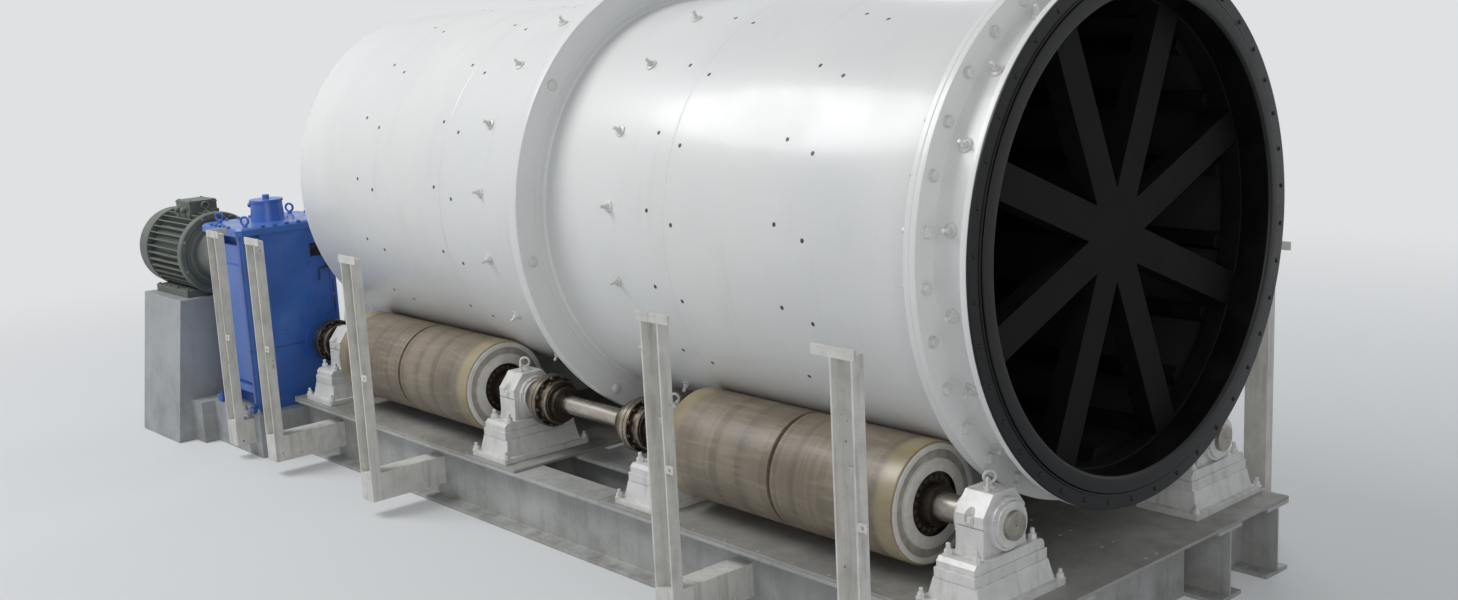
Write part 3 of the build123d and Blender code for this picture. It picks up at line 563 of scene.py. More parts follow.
def hexBolt(acrossFlats, height, washer=0.0, tip=0.0, tipRadius=0.0):
    # chamfered hexagon head on a round washer, with a thread end standing past it where tip is above 0; a bolt
    # in a piece's dictionary is these sizes in turn
    r = acrossFlats / 2 / cos(pi / 6)
    lift = 0.18 * height if washer else 0.0
    shapes = [latheZ([(r, lift), (r, lift + 0.82 * height), (0.86 * r, lift + height),
                      (0.3 * r, lift + height)], 6)]
    if washer:
        shapes.append(latheZ([(washer, 0.0), (washer, 0.8 * lift), (0.92 * washer, lift)], 14))
    if tip:
        shapes.append(latheZ([(tipRadius, lift + 0.9 * height),
                              (tipRadius, lift + height + tip - 0.3 * tipRadius),
                              (0.7 * tipRadius, lift + height + tip)], 8))
    return joined(shapes)


def domePlug(radius, height, segments=20):
    # low dome: the radius falls as a quarter cosine while the height rises as a quarter sine
    t = np.linspace(0.05, 0.94, 6) * pi / 2
    return latheZ(np.c_[radius * np.cos(t), height * np.sin(t)], segments)


def eyeBolt(ring, wire, shank):
    # torus on a short collar; the ring stands in the XZ plane: (ring cos a, 0, shank + ring + ring sin a)
    a = np.linspace(0, 2 * pi, 24, endpoint=False)
    path = np.c_[ring * np.cos(a), np.zeros(24), shank + ring + ring * np.sin(a)]
    collar = latheZ([(wire * 2.1, 0), (wire * 2.1, 0.4 * shank), (wire * 1.3, 0.7 * shank),
                     (wire * 1.2, 1.3 * shank)], 14)
    return joined([tubeAlong(path, wire, 9, True, (0, 1, 0)), collar])


square = np.array([(-1, -1), (1, -1), (1, 1), (-1, 1)])  # the corners of outlines and bolt patterns


def atHeight(xy, z):
    # flat points lifted to a height
    return np.c_[xy, np.full(len(xy), z)]


# Drum

drumLook = {
    "segments": 288, "weldLeg": 0.014, "weldAt": (-1.19, 1.19),
    "bead": ((-0.010, -0.0015), (0.010, -0.0015), (0.006, 0.0012), (-0.006, 0.0012)),  # x, height on the shell
    "studRows": (-0.688, 0.688), "studs": 18, "studStart": 14.1, "studBolt": (0.034, 0.026, 0.0, 0.034, 0.011),
    "studPad": ((0.037, 0.0), (0.037, 0.006), (0.030, 0.010)), "sectionStuds": 20, "sectionX": 3.289,
    "sectionStart": 9.4, "plugRows": (-2.31, -2.10, -1.258, -1.043, 1.043, 1.258, 2.10, 2.31), "plugTurn": 3,
    "plug": ((0.013, -0.002), (0.013, 0.00008), (0.009, 0.00012)), "flangeBolts": 32, "flangeBoltRadius": 1.366,
    "flangeStart": 3.3, "flangeHead": (0.050, 0.024, 0.032), "flangeNut": (0.050, 0.030, 0.032, 0.022, 0.015),
    "ringPlugs": 8, "ringPlugRadius": 1.438, "ringPlugStart": 9.8, "ringPlug": (0.036, 0.020),
    "ringLine": (  # x from the ring's face, radius
        (0.0, 1.360), (-0.003, 1.361), (-0.003, 1.364), (0.0, 1.365)),
}
zc = machine["drumZ"]


def drumLathe(name, outline, replaced, edge, finish="drumEnamel"):
    # a ring on the drum, with its edges rounded
    shape = latheX(roundCorners(outline, edge, 4), drumLook["segments"], 0, zc)
    newPiece(name, "drum", shape, finish, [replaced], 40)


def drumRing(count, first, x, radius, outward=0):
    # places on a circle about the drum's axis
    return ringPlaces(count, first, x, radius, outward, 0, zc)


def makeDrum():
    look, shell, bore = drumLook, machine["shellRadius"], machine["shellBore"]
    start, end, seated = machine["feedEnd"], machine["jointX"], machine["shellRadius"] + machine["seatGap"]
    drumLathe("rolled_shell", [(start, bore), (end, bore), (end, shell), (start, shell)], "drum_shell", 0.002)
    half, ring = machine["ringHalf"], machine["ringRadius"]
    face = [(half, seated)] + [(half + x, radius) for x, radius in look["ringLine"]] + [(half, ring)]
    drumLathe("running_ring", face + [(-x, radius) for x, radius in face[::-1]], "thrust_ring", 0.006)
    leg, bead, around = look["weldLeg"], np.array(look["bead"]), look["segments"]
    # fillet welds, each a triangle between ring face and shell, and flat butt welds
    welds = [latheX([(s * half, shell), (s * (half + leg), shell), (s * half, shell + leg)][::s], around, 0, zc)
             for s in (1, -1)] + [latheX(bead + (x, shell), around, 0, zc) for x in look["weldAt"]]
    newPiece("ring_welds", "drum", joined(welds), "drumEnamel", (), 40)
    flange, wall = machine["flangeRadius"], machine["flangeWall"]
    drumLathe("rear_flange", [(end - wall, seated), (end, seated), (end, flange), (end - wall, flange)],
              "shell_flange", 0.004)
    mouth, endFlange, endWall = machine["mouthFace"], machine["endFlangeRadius"], machine["endFlangeWall"]
    drumLathe("discharge_ring", [(end, bore), (mouth, bore), (mouth, endFlange), (mouth - endWall, endFlange),
                                 (mouth - endWall, shell), (end + wall, shell), (end + wall, flange),
                                 (end, flange)], "discharge_section", 0.003)
    places = [drumRing(look["studs"], look["studStart"], x, shell) for x in look["studRows"]]
    places.append(drumRing(look["sectionStuds"], look["sectionStart"], look["sectionX"], shell))
    stud = joined([latheZ(look["studPad"], 20), hexBolt(*look["studBolt"])])
    newPiece("liner_studs", "drum", copies(stud, np.concatenate(places)), "whiteEnamel")
    places = [drumRing(look["studs"], look["studStart"] + look["plugTurn"] * (number % 2), x, shell)
              for number, x in enumerate(look["plugRows"])]
    newPiece("liner_plugs", "drum", copies(latheZ(look["plug"], 14), np.concatenate(places)), "boltSteel")
    places = [drumRing(look["ringPlugs"], look["ringPlugStart"], side * half, look["ringPlugRadius"], side)
              for side in (1, -1)]
    newPiece("ring_plugs", "drum", copies(domePlug(*look["ringPlug"]), np.concatenate(places)), "whiteEnamel")
    count, at, first = look["flangeBolts"], look["flangeBoltRadius"], look["flangeStart"]
    heads = copies(hexBolt(*look["flangeHead"]), drumRing(count, first, end + wall, at, 1))
    nuts = copies(hexBolt(*look["flangeNut"]), drumRing(count, first, end - wall, at, -1))
    newPiece("flange_bolts", "drum", joined([heads, nuts]), "whiteEnamel")
    print("drum made")


mouthLook = {
    "face": 3.510, "outer": 1.417, "step": 0.014, "stepRadius": 1.330, "lip": 1.238, "inner": 3.330,
    "beadOut": 0.010, "beadRise": 0.002, "beadWire": 0.006, "bolts": 40, "boltStart": 4.5, "boltRadius": 1.378,
    "bolt": (0.013, 0.008, 12),
}


def makeMouth():
    mouth, bore, look = machine["mouthFace"], machine["shellBore"] - machine["seatGap"], mouthLook
    face, step, lip, outer, ledge = (look[key] for key in ("face", "step", "lip", "outer", "stepRadius"))
    outline = [(look["inner"], lip), (look["inner"], bore), (mouth, bore), (mouth, outer), (face - step, outer),
               (face - step, ledge), (face, ledge), (face, lip + step), (face - step, lip)]
    drumLathe("mouth_ring", outline[::-1], "mouth_rubber", 0.006, "mouthRubber")
    bead = circle(ledge + look["beadOut"], drumLook["segments"], 0, zc)
    path = np.c_[np.full(len(bead), face - step + look["beadRise"]), bead]
    newPiece("mouth_bead", "drum", tubeAlong(path, look["beadWire"], 8, True), "mouthRubber")
    places = drumRing(look["bolts"], look["boltStart"], face - step, look["boltRadius"], 1)
    newPiece("mouth_bolts", "drum", copies(domePlug(*look["bolt"]), places), "mouthRubber")
    print("mouth made")


makeDrum()
makeMouth()
dressNode("shell_liner", "wearRubber", 0.0)
dressNode("lifter_bars", "wearRubber", 0.006)
dressNode("mouth_spider", "wearRubber", 0.006)
dressNode("feed_head", "drumEnamel", 0.004)


# Driving rollers

rowLook = {
    "radius": 0.330, "core": 0.290, "inner": 1.065, "outer": 2.865, "groove": 0.026, "segments": 160,
    "shaft": 0.075, "pole": 0.004, "stub": 0.490, "feedStub": 3.550, "dischargeStub": 3.405, "edge": 0.002,
    "tyreEdge": 0.007, "wellFloor": -0.010, "wellBolts": 20, "wellStart": 4, "wellBoltRadius": 0.141,
    "wellBolt": (0.022, 0.014),
    "plate": (  # height past the tyres, radius: hub, well, inner ring, groove and rim of an end plate
        (0.065, 0.110), (-0.010, 0.110), (-0.010, 0.172), (0.014, 0.172), (0.014, 0.240), (0.0, 0.240),
        (0.0, 0.286), (0.008, 0.286), (0.008, 0.318), (0.0, 0.318), (0.0, 0.2898)),
}


def rollerOutline(end):
    # half outline of one roller from its inner stub to its outer stub, with stepped end plates
    look, shaft = rowLook, rowLook["shaft"]
    stub = look["feedStub"] if end < 0 else look["dischargeStub"]
    rise, radius = np.array(look["plate"]).T
    inner = np.c_[look["inner"] - rise, radius]
    outer = np.c_[look["outer"] + rise, radius][::-1]
    first = [(look["stub"], look["pole"]), (look["stub"], shaft), (look["inner"] - rise[0], shaft)]
    last = [(look["outer"] + rise[0], shaft), (stub, shaft), (stub, look["pole"])]
    return np.concatenate([first, inner, outer, last]) * (end, 1)


def makeRow(side, name):
    y, z, look = side * machine["rowY"], machine["axleZ"], rowLook
    inner, outer, groove = look["inner"], look["outer"], look["groove"] / 2
    middle = (inner + outer) / 2
    spans = np.array([(inner, middle - groove), (middle + groove, outer)])
    for end, place in ((-1, "feed"), (1, "discharge")):
        body, roller = name + "_row", name + "_" + place
        core = latheX(roundCorners(rollerOutline(end)[::-end], look["edge"], 3), look["segments"], y, z)
        newPiece(roller + "_roller_core", body, core, "rollerEnamel", [roller + "_roller"], 40)
        covers = []
        for lo, hi in np.sort(end * spans, axis=1):
            ring = [(lo, look["core"]), (hi, look["core"]), (hi, look["radius"]), (lo, look["radius"])]
            covers.append(latheX(roundCorners(ring, look["tyreEdge"], 5), look["segments"], y, z))
        newPiece(roller + "_cast_tyres", body, joined(covers), "castTyre",
                 [roller + "_tyres"], 50)
        places = [ringPlaces(look["wellBolts"], look["wellStart"], end * (x + face * look["wellFloor"]),
                             look["wellBoltRadius"], end * face, y, z)
                  for x, face in ((inner, -1), (outer, 1))]
        bolts = copies(hexBolt(*look["wellBolt"]), np.concatenate(places))
        newPiece(roller + "_well_bolts", body, bolts, "boltSteel")
    print(name, "rollers made")


makeRow(-1, "front")
makeRow(1, "back")


# Couplings and shafts

couplingLook = {
    # x of the end at the bearing block, direction, bore of the far half
    "starts": ((0.650, -1, 0.0622), (-0.650, 1, 0.0622), (-3.390, -1, 0.0753)), "bore": 0.0752,
    "half": (  # share of the length, radius: hub, seal ring, bevelled sleeve, flange and the seam at the middle
        (0.0, 0.112), (0.13, 0.112), (0.13, 0.132), (0.18, 0.132), (0.18, 0.140), (0.205, 0.148), (0.40, 0.148),
        (0.40, 0.178), (0.4906, 0.178), (0.4906, 0.162)),
    "length": 0.320, "flangeFaces": (0.40, 0.60), "bolts": 12, "boltRadius": 0.1615, "boltStart": 10,
    "bolt": (0.024, 0.015, 0.0, 0.006, 0.007), "sleeveRadius": 0.148, "screwShares": (0.29, 0.71), "screws": 4,
    "screwStart": 25, "screw": ((0.011, -0.002), (0.011, 0.007), (0.008, 0.010), (0.004, 0.010)), "edge": 0.002,
}


def makeCouplings(side, name):
    y, z, look = side * machine["rowY"], machine["axleZ"], couplingLook
    bolts, screws, sleeves = [], [], []
    half = np.array(look["half"])
    for start, direction, farBore in look["starts"]:
        run = direction * look["length"]
        bores = [(1, farBore), (0.5, farBore), (0.5, look["bore"]), (0, look["bore"])]
        steps = np.concatenate([half, half[::-1] * (-1, 1) + (1, 0), bores])
        outline = np.c_[start + run * steps[:, 0], steps[:, 1]]
        sleeves.append(latheX(outline[::-direction], 96, y, z))
        bolts += [ringPlaces(look["bolts"], look["boltStart"], start + run * share, look["boltRadius"], face,
                             y, z) for share, face in zip(look["flangeFaces"], (-direction, direction))]
        screws += [ringPlaces(look["screws"], look["screwStart"], start + run * share, look["sleeveRadius"], 0,
                              y, z) for share in look["screwShares"]]
    heads = copies(hexBolt(*look["bolt"]), np.concatenate(bolts))
    caps = copies(latheZ(look["screw"], 12), np.concatenate(screws))
    newPiece(name + "_coupling_bolts", name + "_row", joined([heads, caps]), "boltSteel")
    newPiece(name + "_coupling_sleeves", name + "_row", joined(sleeves), "couplingSteel",
             [name + "_couplings"], 35, look["edge"])
    dressNode(name + "_shafts", "shaftSteel", look["edge"])


makeCouplings(-1, "front")
makeCouplings(1, "back")
print("couplings dressed")


# Thrust rollers

thrustLook = {"x": 0.202, "radius": 0.157, "width": 0.150, "hub": 0.115, "spread": 0.173, "end": 1.511,
              "capRadius": 0.123, "capHeight": 0.012, "capGap": 0.003, "edge": 0.009}


def makeThrustRoller(side, end):
    look = thrustLook
    tilt = side * asin(look["spread"] / (look["end"] - look["width"] / 2))
    place = np.eye(4)
    place[:3, :3] = np.array(Matrix.Rotation(tilt, 3, "X"))
    place[:3, 3] = (end * look["x"], 0, zc)
    low, high = -look["end"], -look["end"] + look["width"]
    name = ("front" if side < 0 else "back") + "_" + ("feed" if end < 0 else "discharge") + "_thrust"
    r, hub, cap = look["radius"], look["hub"], look["capRadius"]
    ring = roundCorners([(hub, low), (r, low), (r, high), (hub, high)], look["edge"], 5)
    points, faces = latheX([(z, radius) for radius, z in ring[::-1]], 96, 0, 0)
    tyre = (points[:, [2, 1, 0]] * [-1, 1, 1], faces)  # the swept ring is stood up: X becomes Z
    newPiece(name + "_tyre_cast", name + "_roller", copies(tyre, [place]), "castRed",
             [name + "_tyre"], 40)
    top, under = high + look["capHeight"], high + look["capGap"]
    core = latheZ([(hub - 0.002, low), (hub - 0.002, under), (cap - 0.002, under), (cap, under + 0.002),
                   (cap, top - 0.003), (cap - 0.003, top), (0.030, top)], 72)
    newPiece(name + "_hub_cap", name + "_roller", copies(core, [place]), "saddleEnamel",
             [name + "_hub"], 40)


for side in (-1, 1):
    for end in (-1, 1):
        makeThrustRoller(side, end)
print("thrust rollers made")


# Bearing blocks and their stools

blockLook = {
    # cover, bore and boss are radii, seal is radius and half length, pocket y and radius, slot half sizes
    "x": (-3.240, -0.800, 0.800, 3.240), "top": 0.176, "bodyHalf": 0.088, "cover": 0.136, "coverHalf": 0.120,
    "seal": (0.118, 0.140), "bore": 0.0754, "pocket": (0.165, 0.030), "slot": (0.010, 0.003), "boss": 0.034,
    "body": ((-0.179, -0.199), (0.179, -0.199), (0.165, -0.090), (0.165, 0.062), (0.082, 0.165),
             (-0.082, 0.165), (-0.165, 0.062), (-0.165, -0.090)),
    "foot": ((-0.280, -0.200), (0.280, -0.200), (0.280, -0.167), (0.258, -0.145), (-0.258, -0.145),
             (-0.280, -0.167)),
    "stool": (  # half X, half Y, z: base plate, waist with sloped faces, top plate
        (0.200, 0.350, 0.450), (0.200, 0.350, 0.486), (0.165, 0.305, 0.486), (0.140, 0.285, 0.596),
        (0.130, 0.290, 0.596), (0.130, 0.290, 0.650)),
    # places from the block's middle: cap bolts by Y and height, the rest by X, Y and height. Heights are from
    # the axle, but for the plate bolts' from the floor
    "capAt": (0.156, 0.022), "capBolt": (0.036, 0.026, 0.025),
    "footAt": (0.090, 0.222, -0.145), "footBolt": (0.040, 0.026, 0.030, 0.030, 0.012),
    "plateAt": (0.182, 0.329, 0.486), "plateBolt": (0.036, 0.024, 0.029, 0.024, 0.011),
    "coverBolts": 8, "coverBoltRadius": 0.127, "coverStart": 22.5, "coverBolt": (0.014, 0.008),
    "eye": (0.030, 0.0085, 0.016), "pinAt": (0.03, 0.055, 0.165), "nippleAt": (-0.045, -0.055, 0.165),
    "pin": ((0.015, -0.002), (0.015, 0.016), (0.009, 0.020), (0.010, 0.058), (0.006, 0.074), (0.003, 0.076)),
    "nipple": ((0.011, -0.002), (0.011, 0.010), (0.006, 0.012), (0.007, 0.024), (0.003, 0.028)), "edge": 0.004,
}


def pillowBlock():
    # a split pillow block about its own bore: foot, faceted body with cap bolt pockets, end covers and seals
    look = blockLook
    half, (seal, sealHalf), (pocketY, pocket) = look["coverHalf"], look["seal"], look["pocket"]
    boss = latheZ([(look["boss"], look["top"] - 0.02), (look["boss"], look["top"] - 0.003),
                   (look["boss"] - 0.003, look["top"])], 32)
    solid = joined([alongX(look["body"], -look["bodyHalf"], look["bodyHalf"]),
                    alongX(look["foot"], -half, half), alongX(circle(look["cover"]), -half, half),
                    alongX(circle(seal), -sealHalf, sealHalf), boss])
    hole = latheZ([(pocket, look["capAt"][1]), (pocket, look["top"])], 32)
    depth, gap = look["slot"]
    cutters = [alongX(circle(look["bore"]), -2 * half, 2 * half),
               copies(hole, placesAt([(0, -pocketY, 0), (0, pocketY, 0)]))]
    cutters += [slab((-half, edge - depth, -gap), (half, edge + depth, gap)) for edge in (-pocketY, pocketY)]
    return carved(solid, cutters)


pillow = pillowBlock()


def makeBlocks(side, name):
    y, z, look = side * machine["rowY"], machine["axleZ"], blockLook
    xs = np.array(look["x"])
    centres = np.c_[xs, np.full(len(xs), y), np.zeros(len(xs))]

    def spread(bolt, offsets, height):
        # the bolt at each offset from each block's middle
        places = centres[:, None] + atHeight(offsets, height)[None]
        return copies(hexBolt(*bolt), placesAt(places.reshape(-1, 3)))

    capY, capZ = look["capAt"]
    covers = [ringPlaces(look["coverBolts"], look["coverStart"], x + face * look["coverHalf"],
                         look["coverBoltRadius"], face, y, z) for x in xs for face in (-1, 1)]
    bolts = [spread(look["capBolt"], [(0, -capY), (0, capY)], z + capZ),
             spread(look["footBolt"], square * look["footAt"][:2], z + look["footAt"][2]),
             spread(look["plateBolt"], square * look["plateAt"][:2], look["plateAt"][2]),
             copies(hexBolt(*look["coverBolt"]), np.concatenate(covers))]
    newPiece(name + "_block_bolts", "bed", joined(bolts), "whiteEnamel")
    eyes = copies(eyeBolt(*look["eye"]), placesAt(centres + (0, 0, z + look["top"]), (0, 0, 1), (0.6, 0.8, 0)))
    fittings = [copies(latheZ(look[part], sides), placesAt(centres + (dx, side * dy, z + dz)))
                for part, sides, (dx, dy, dz) in (("pin", 12, look["pinAt"]), ("nipple", 10, look["nippleAt"]))]
    newPiece(name + "_eye_bolts", "bed", joined([eyes] + fittings), "whiteEnamel")
    newPiece(name + "_pillow_blocks", "bed", copies(pillow, placesAt(centres + (0, 0, z))), "whiteEnamel",
             [name + "_bearing_blocks"], 35, look["edge"])
    levels = np.array(look["stool"])
    stools = copies(skin([square * level[:2] for level in levels], levels[:, 2]), placesAt(centres))
    newPiece(name + "_stools", "bed", stools, "whiteEnamel", [name + "_pedestals"], 35,
             look["edge"])


makeBlocks(-1, "front")
makeBlocks(1, "back")
print("bearing blocks dressed")


# Gearboxes

gearboxLook = {
    # x and y of the housing's corners; every y is from the row's axle and every height from the floor
    "low": (-4.375, -0.640), "high": (-3.735, 0.170), "base": 0.350, "round": 0.036, "seam": 0.008,
    "lidLow": 1.788, "lidTop": 1.850, "lidOver": 0.026, "lidChamfer": 0.0155, "footTop": 0.390,
    "footOver": 0.045, "margin": 0.060, "panelDepth": 0.034, "doorLift": 0.016,
    "door": (0.560, 1.540, 0.020),  # bottom, top, border
    "slot": (0.088, 0.110), "arch": (0.150, 0.120),  # height, depth
    "notch": (-3.783, -0.540, 1.735),  # place of its bolt
    "notchSize": (0.048, 0.0625, 0.104),  # depth, half width, height
    "boss": (0.165, 0.015), "bore": (0.0754, 0.086),  # radius with its rise or depth
    "rib": (0.100, 0.134, 1.049, 1.686),  # y and z spans
    "strip": (0.117, 1.060, 1.330, 0.014),  # y, z span, rise
    "window": (-0.010, 1.600, 0.045, 0.055, 0.006),  # y, z, half sizes, rise
    "windowFrame": 0.010,
    "sight": (-4.26, 1.13, 0.045),  # x, z, half size
    "pipe": ((0.080, 1.540), (0.080, 1.440), (0.005, 1.440), (0.005, 1.345)),  # y, z
    "pipeOut": 0.014, "pipeBend": 0.012, "pipeRadius": 0.0065,
    "pot": (-4.055, -0.235, 0.125, 2.015),  # x, y, radius, height of the breather
    "potOutline": (  # radius, z
        (0.137, 1.845), (0.125, 2.005), (0.134, 2.005), (0.134, 2.022), (0.131, 2.025), (0.028, 2.025),
        (0.028, 2.058), (0.024, 2.061)),
    "breather": (  # radius, height along its own axis
        (0.012, -0.004), (0.012, 0.024), (0.022, 0.026), (0.022, 0.044), (0.016, 0.050), (0.005, 0.051)),
    "breatherOut": (-0.86, -0.5, 0.0), "faceBolts": (  # y from the axle, z, size across flats
        (-0.150, 1.658, 0.030), (-0.075, 1.481, 0.026), (-0.043, 1.360, 0.026), (-0.018, 1.235, 0.026),
        (0.048, 1.075, 0.030), (0.108, 1.207, 0.030), (0.034, 1.197, 0.024), (-0.075, 1.175, 0.026),
        (-0.200, 1.060, 0.026), (-0.330, 0.960, 0.026), (0.085, 1.732, 0.036)),
    "lidBolts": 5, "lidBoltFrom": (0.16, 0.2), "lidInset": 0.038, "lidBolt": (0.026, 0.012, 0.017),
    "footBoltFrom": (0.010, 0.024, 0.2), "footInset": 0.022, "footBolt": (0.030, 0.020, 0.021, 0.016, 0.009),
    "notchBolt": (0.036, 0.022, 0.026), "eyeInset": (0.085, 0.095), "eye": (0.032, 0.0095, 0.016),
    "edge": 0.003,
}


def gearboxHousing():
    # the housing about its row's axle: recessed side with a door, slot, notch and arch, belt seam, lid and pot
    look, axle = gearboxLook, machine["axleZ"]
    (x0, y0), (x1, y1) = look["low"], look["high"]
    base, lid, top, seam, reach = (look[key] for key in ("base", "lidLow", "lidTop", "seam", "round"))
    centre, size = np.array([x0 + x1, y0 + y1]) / 2, np.array([x1 - x0, y1 - y0]) / 2

    def grown(by, steps, reach):
        return roundCorners(centre + square * (size + by), reach, steps)

    wall, inner = grown(0.0, 6, reach), grown(-seam, 6, reach)
    body = skin([wall, wall, inner, inner, wall, wall],
                (base, axle - seam / 2, axle - seam / 2, axle + seam / 2, axle + seam / 2, lid))
    over, under = look["footOver"], look["footOver"] / 3
    foot = slab((x0 - over, y0 - over, base), (x1 + under, y1 + under, look["footTop"]))
    bossRadius, bossRise = look["boss"]
    boss = alongX(circle(bossRadius, 96, 0, axle), x1 - seam - 0.002, x1 + bossRise)
    low, high, (doorLow, doorHigh, border) = x0 + look["margin"], x1 - look["margin"], look["door"]
    depth, past = look["panelDepth"], lid + 0.02  # the cutters run past the faces that they open
    slotHeight, slotDepth = look["slot"]
    deep, halfWide, tall = look["notchSize"]
    notchY = look["notch"][1] + 0.0025
    archHeight, archDepth = look["arch"]
    boreRadius, boreDepth = look["bore"]
    panel = joined([slab((low, y0 - 0.01, doorLow), (high, y0 + depth, past)),
                    slab((low, y0 + 0.01, lid - slotHeight), (high, y0 + slotDepth, past))])
    housing = carved(joined([body, foot, boss]), [
        panel, slab((x1 - deep, notchY - halfWide, lid - tall), (x1 + 0.01, notchY + halfWide, past)),
        slab((low, y0 - 0.2, base - 0.01), (high, y0 + archDepth, base + archHeight)),
        alongX(circle(boreRadius, 64, 0, axle), x1 - boreDepth, x1 + 0.05)])
    door = slab((low + border, y0 + look["doorLift"] - 0.001, doorLow + border),
                (high - border, y0 + depth + 0.002, doorHigh))
    lidOver, chamfer = look["lidOver"], look["lidChamfer"]
    edge = grown(lidOver, 2, reach)
    cap = skin([edge, edge, grown(lidOver - chamfer, 2, reach - 0.4 * chamfer)], (lid, top - chamfer, top))
    ribLow, ribHigh, ribFrom, ribTo = look["rib"]
    rib = slab((x1 - 0.001, ribLow, ribFrom), (x1 + look["strip"][3], ribHigh, ribTo))
    paneY, paneZ, halfY, halfZ, rise = look["window"]
    rim = look["windowFrame"]
    surround = slab((x1 - 0.001, paneY - halfY - rim, paneZ - halfZ - rim),
                    (x1 + rise, paneY + halfY + rim, paneZ + halfZ + rim))
    pot = copies(latheZ(look["potOutline"], 64), placesAt((*look["pot"][:2], 0)))
    return joined([housing, door, cap, rib, surround, pot])


casting = gearboxHousing()


def bentPath(points, radius, steps=6):
    # straight runs joined by quarter bends: each inner corner is replaced by a quadratic curve
    points = np.asarray(points, float)
    corner = points[1:-1]
    before, after = points[:-2] - corner, points[2:] - corner
    back = corner + radius * before / np.linalg.norm(before, axis=1, keepdims=True)
    ahead = corner + radius * after / np.linalg.norm(after, axis=1, keepdims=True)
    t = np.linspace(0, 1, steps)[None, :, None]
    curve = (1 - t) ** 2 * back[:, None] + 2 * t * (1 - t) * corner[:, None] + t ** 2 * ahead[:, None]
    return np.concatenate([points[:1], curve.reshape(-1, 3), points[-1:]])


def makeGearbox(side, name):
    y, look = side * machine["rowY"], gearboxLook
    x0, x1 = look["low"][0], look["high"][0]
    y0, y1 = y + look["low"][1], y + look["high"][1]
    bolts = [copies(hexBolt(size, 0.6 * size, 0.7 * size), placesAt((x1, y + dy, z), (1, 0, 0), (0, 0.3, 1)))
             for dy, z, size in look["faceBolts"]]
    over, top, count = look["lidOver"] - look["lidInset"], look["lidTop"], look["lidBolts"]
    fromX, fromY = look["lidBoltFrom"]
    xs, ys = np.linspace(x0 + fromX, x1 - fromX, count), np.linspace(y0 + fromY, y1 - fromY, count)
    edges = np.concatenate([np.c_[xs, np.full(count, y0 + over)], np.c_[xs, np.full(count, y1 - over)],
                            np.c_[np.full(count, x0 + over), ys], np.c_[np.full(count, x1 - over), ys]])
    bolts.append(copies(hexBolt(*look["lidBolt"]), placesAt(atHeight(edges, top))))
    edge, (nearX, farX, footY) = look["footInset"] - look["footOver"], look["footBoltFrom"]
    feet = [(x0 + nearX, y0 + edge), (x1 - farX, y0 + edge), (x0 + edge, y0 + footY), (x0 + edge, y1 - footY)]
    bolts.append(copies(hexBolt(*look["footBolt"]), placesAt(atHeight(feet, look["footTop"]))))
    notchX, notchY, notchZ = look["notch"]
    bolts.append(copies(hexBolt(*look["notchBolt"]), placesAt((notchX, y + notchY, notchZ), (1, 0, 0),
                                                              (0, 0.3, 1))))
    newPiece(name + "_gearbox_bolts", "bed", joined(bolts), "blueEnamel")
    dx, dy = look["eyeInset"]
    lifting = [(x0 + dx, y0 + dy), (x1 - dx, y0 + dy), (x1 - dx, y1 - dy), (x0 + dx, y1 - dy)]
    eyes = copies(eyeBolt(*look["eye"]), placesAt(atHeight(lifting, top), (0, 0, 1), (0.8, 0.6, 0)))
    potX, potY, potRadius, breatherZ = look["pot"]
    outward = np.array(look["breatherOut"])
    spot = np.array([potX, y + potY, breatherZ - 0.04]) + (potRadius - 0.001) * outward
    breathers = copies(latheZ(look["breather"], 16), placesAt(spot, outward, (0, 0, 1)))
    newPiece(name + "_lid_eyes", "bed", joined([eyes, breathers]), "blueEnamel")
    run = np.array(look["pipe"])
    path = np.c_[np.full(len(run), x1 + look["pipeOut"]), y + run[:, 0], run[:, 1]]
    path = np.concatenate([[path[0] - (0.020, 0, 0)], path, [path[-1] - (0.020, 0, 0)]])
    rimY, rimLow, rimHigh, rimRise = look["strip"]
    strip = slab((x1 + rimRise - 0.001, y + rimY - 0.006, rimLow),
                 (x1 + rimRise + 0.002, y + rimY + 0.006, rimHigh))
    pipe = tubeAlong(bentPath(path, look["pipeBend"]), look["pipeRadius"], 9, False, (0.3, 0.5, 0.8))
    newPiece(name + "_oil_line", "bed", joined([pipe, strip]), "boltSteel")
    paneY, paneZ, halfY, halfZ, rise = look["window"]
    pane = slab((x1 + rise - 0.002, y + paneY - halfY, paneZ - halfZ),
                (x1 + rise + 0.001, y + paneY + halfY, paneZ + halfZ))
    sightX, sightZ, half = look["sight"]
    lensY = y0 + look["doorLift"] - 0.001
    lens = slab((sightX - half, lensY - 0.003, sightZ - half), (sightX + half, lensY + 0.002, sightZ + half))
    # the windows are near black: painted shade of the gearbox's inside
    newPiece(name + "_gearbox_windows", "bed", joined([pane, lens]), "darkGlass", (), 35, 0.002)
    newPiece(name + "_gearbox_casting", "bed", copies(casting, placesAt((0, y, 0))), "blueEnamel",
             [name + "_gearbox"], 35, look["edge"])


makeGearbox(-1, "front")
makeGearbox(1, "back")
print("gearboxes dressed")


# Motors and their stands

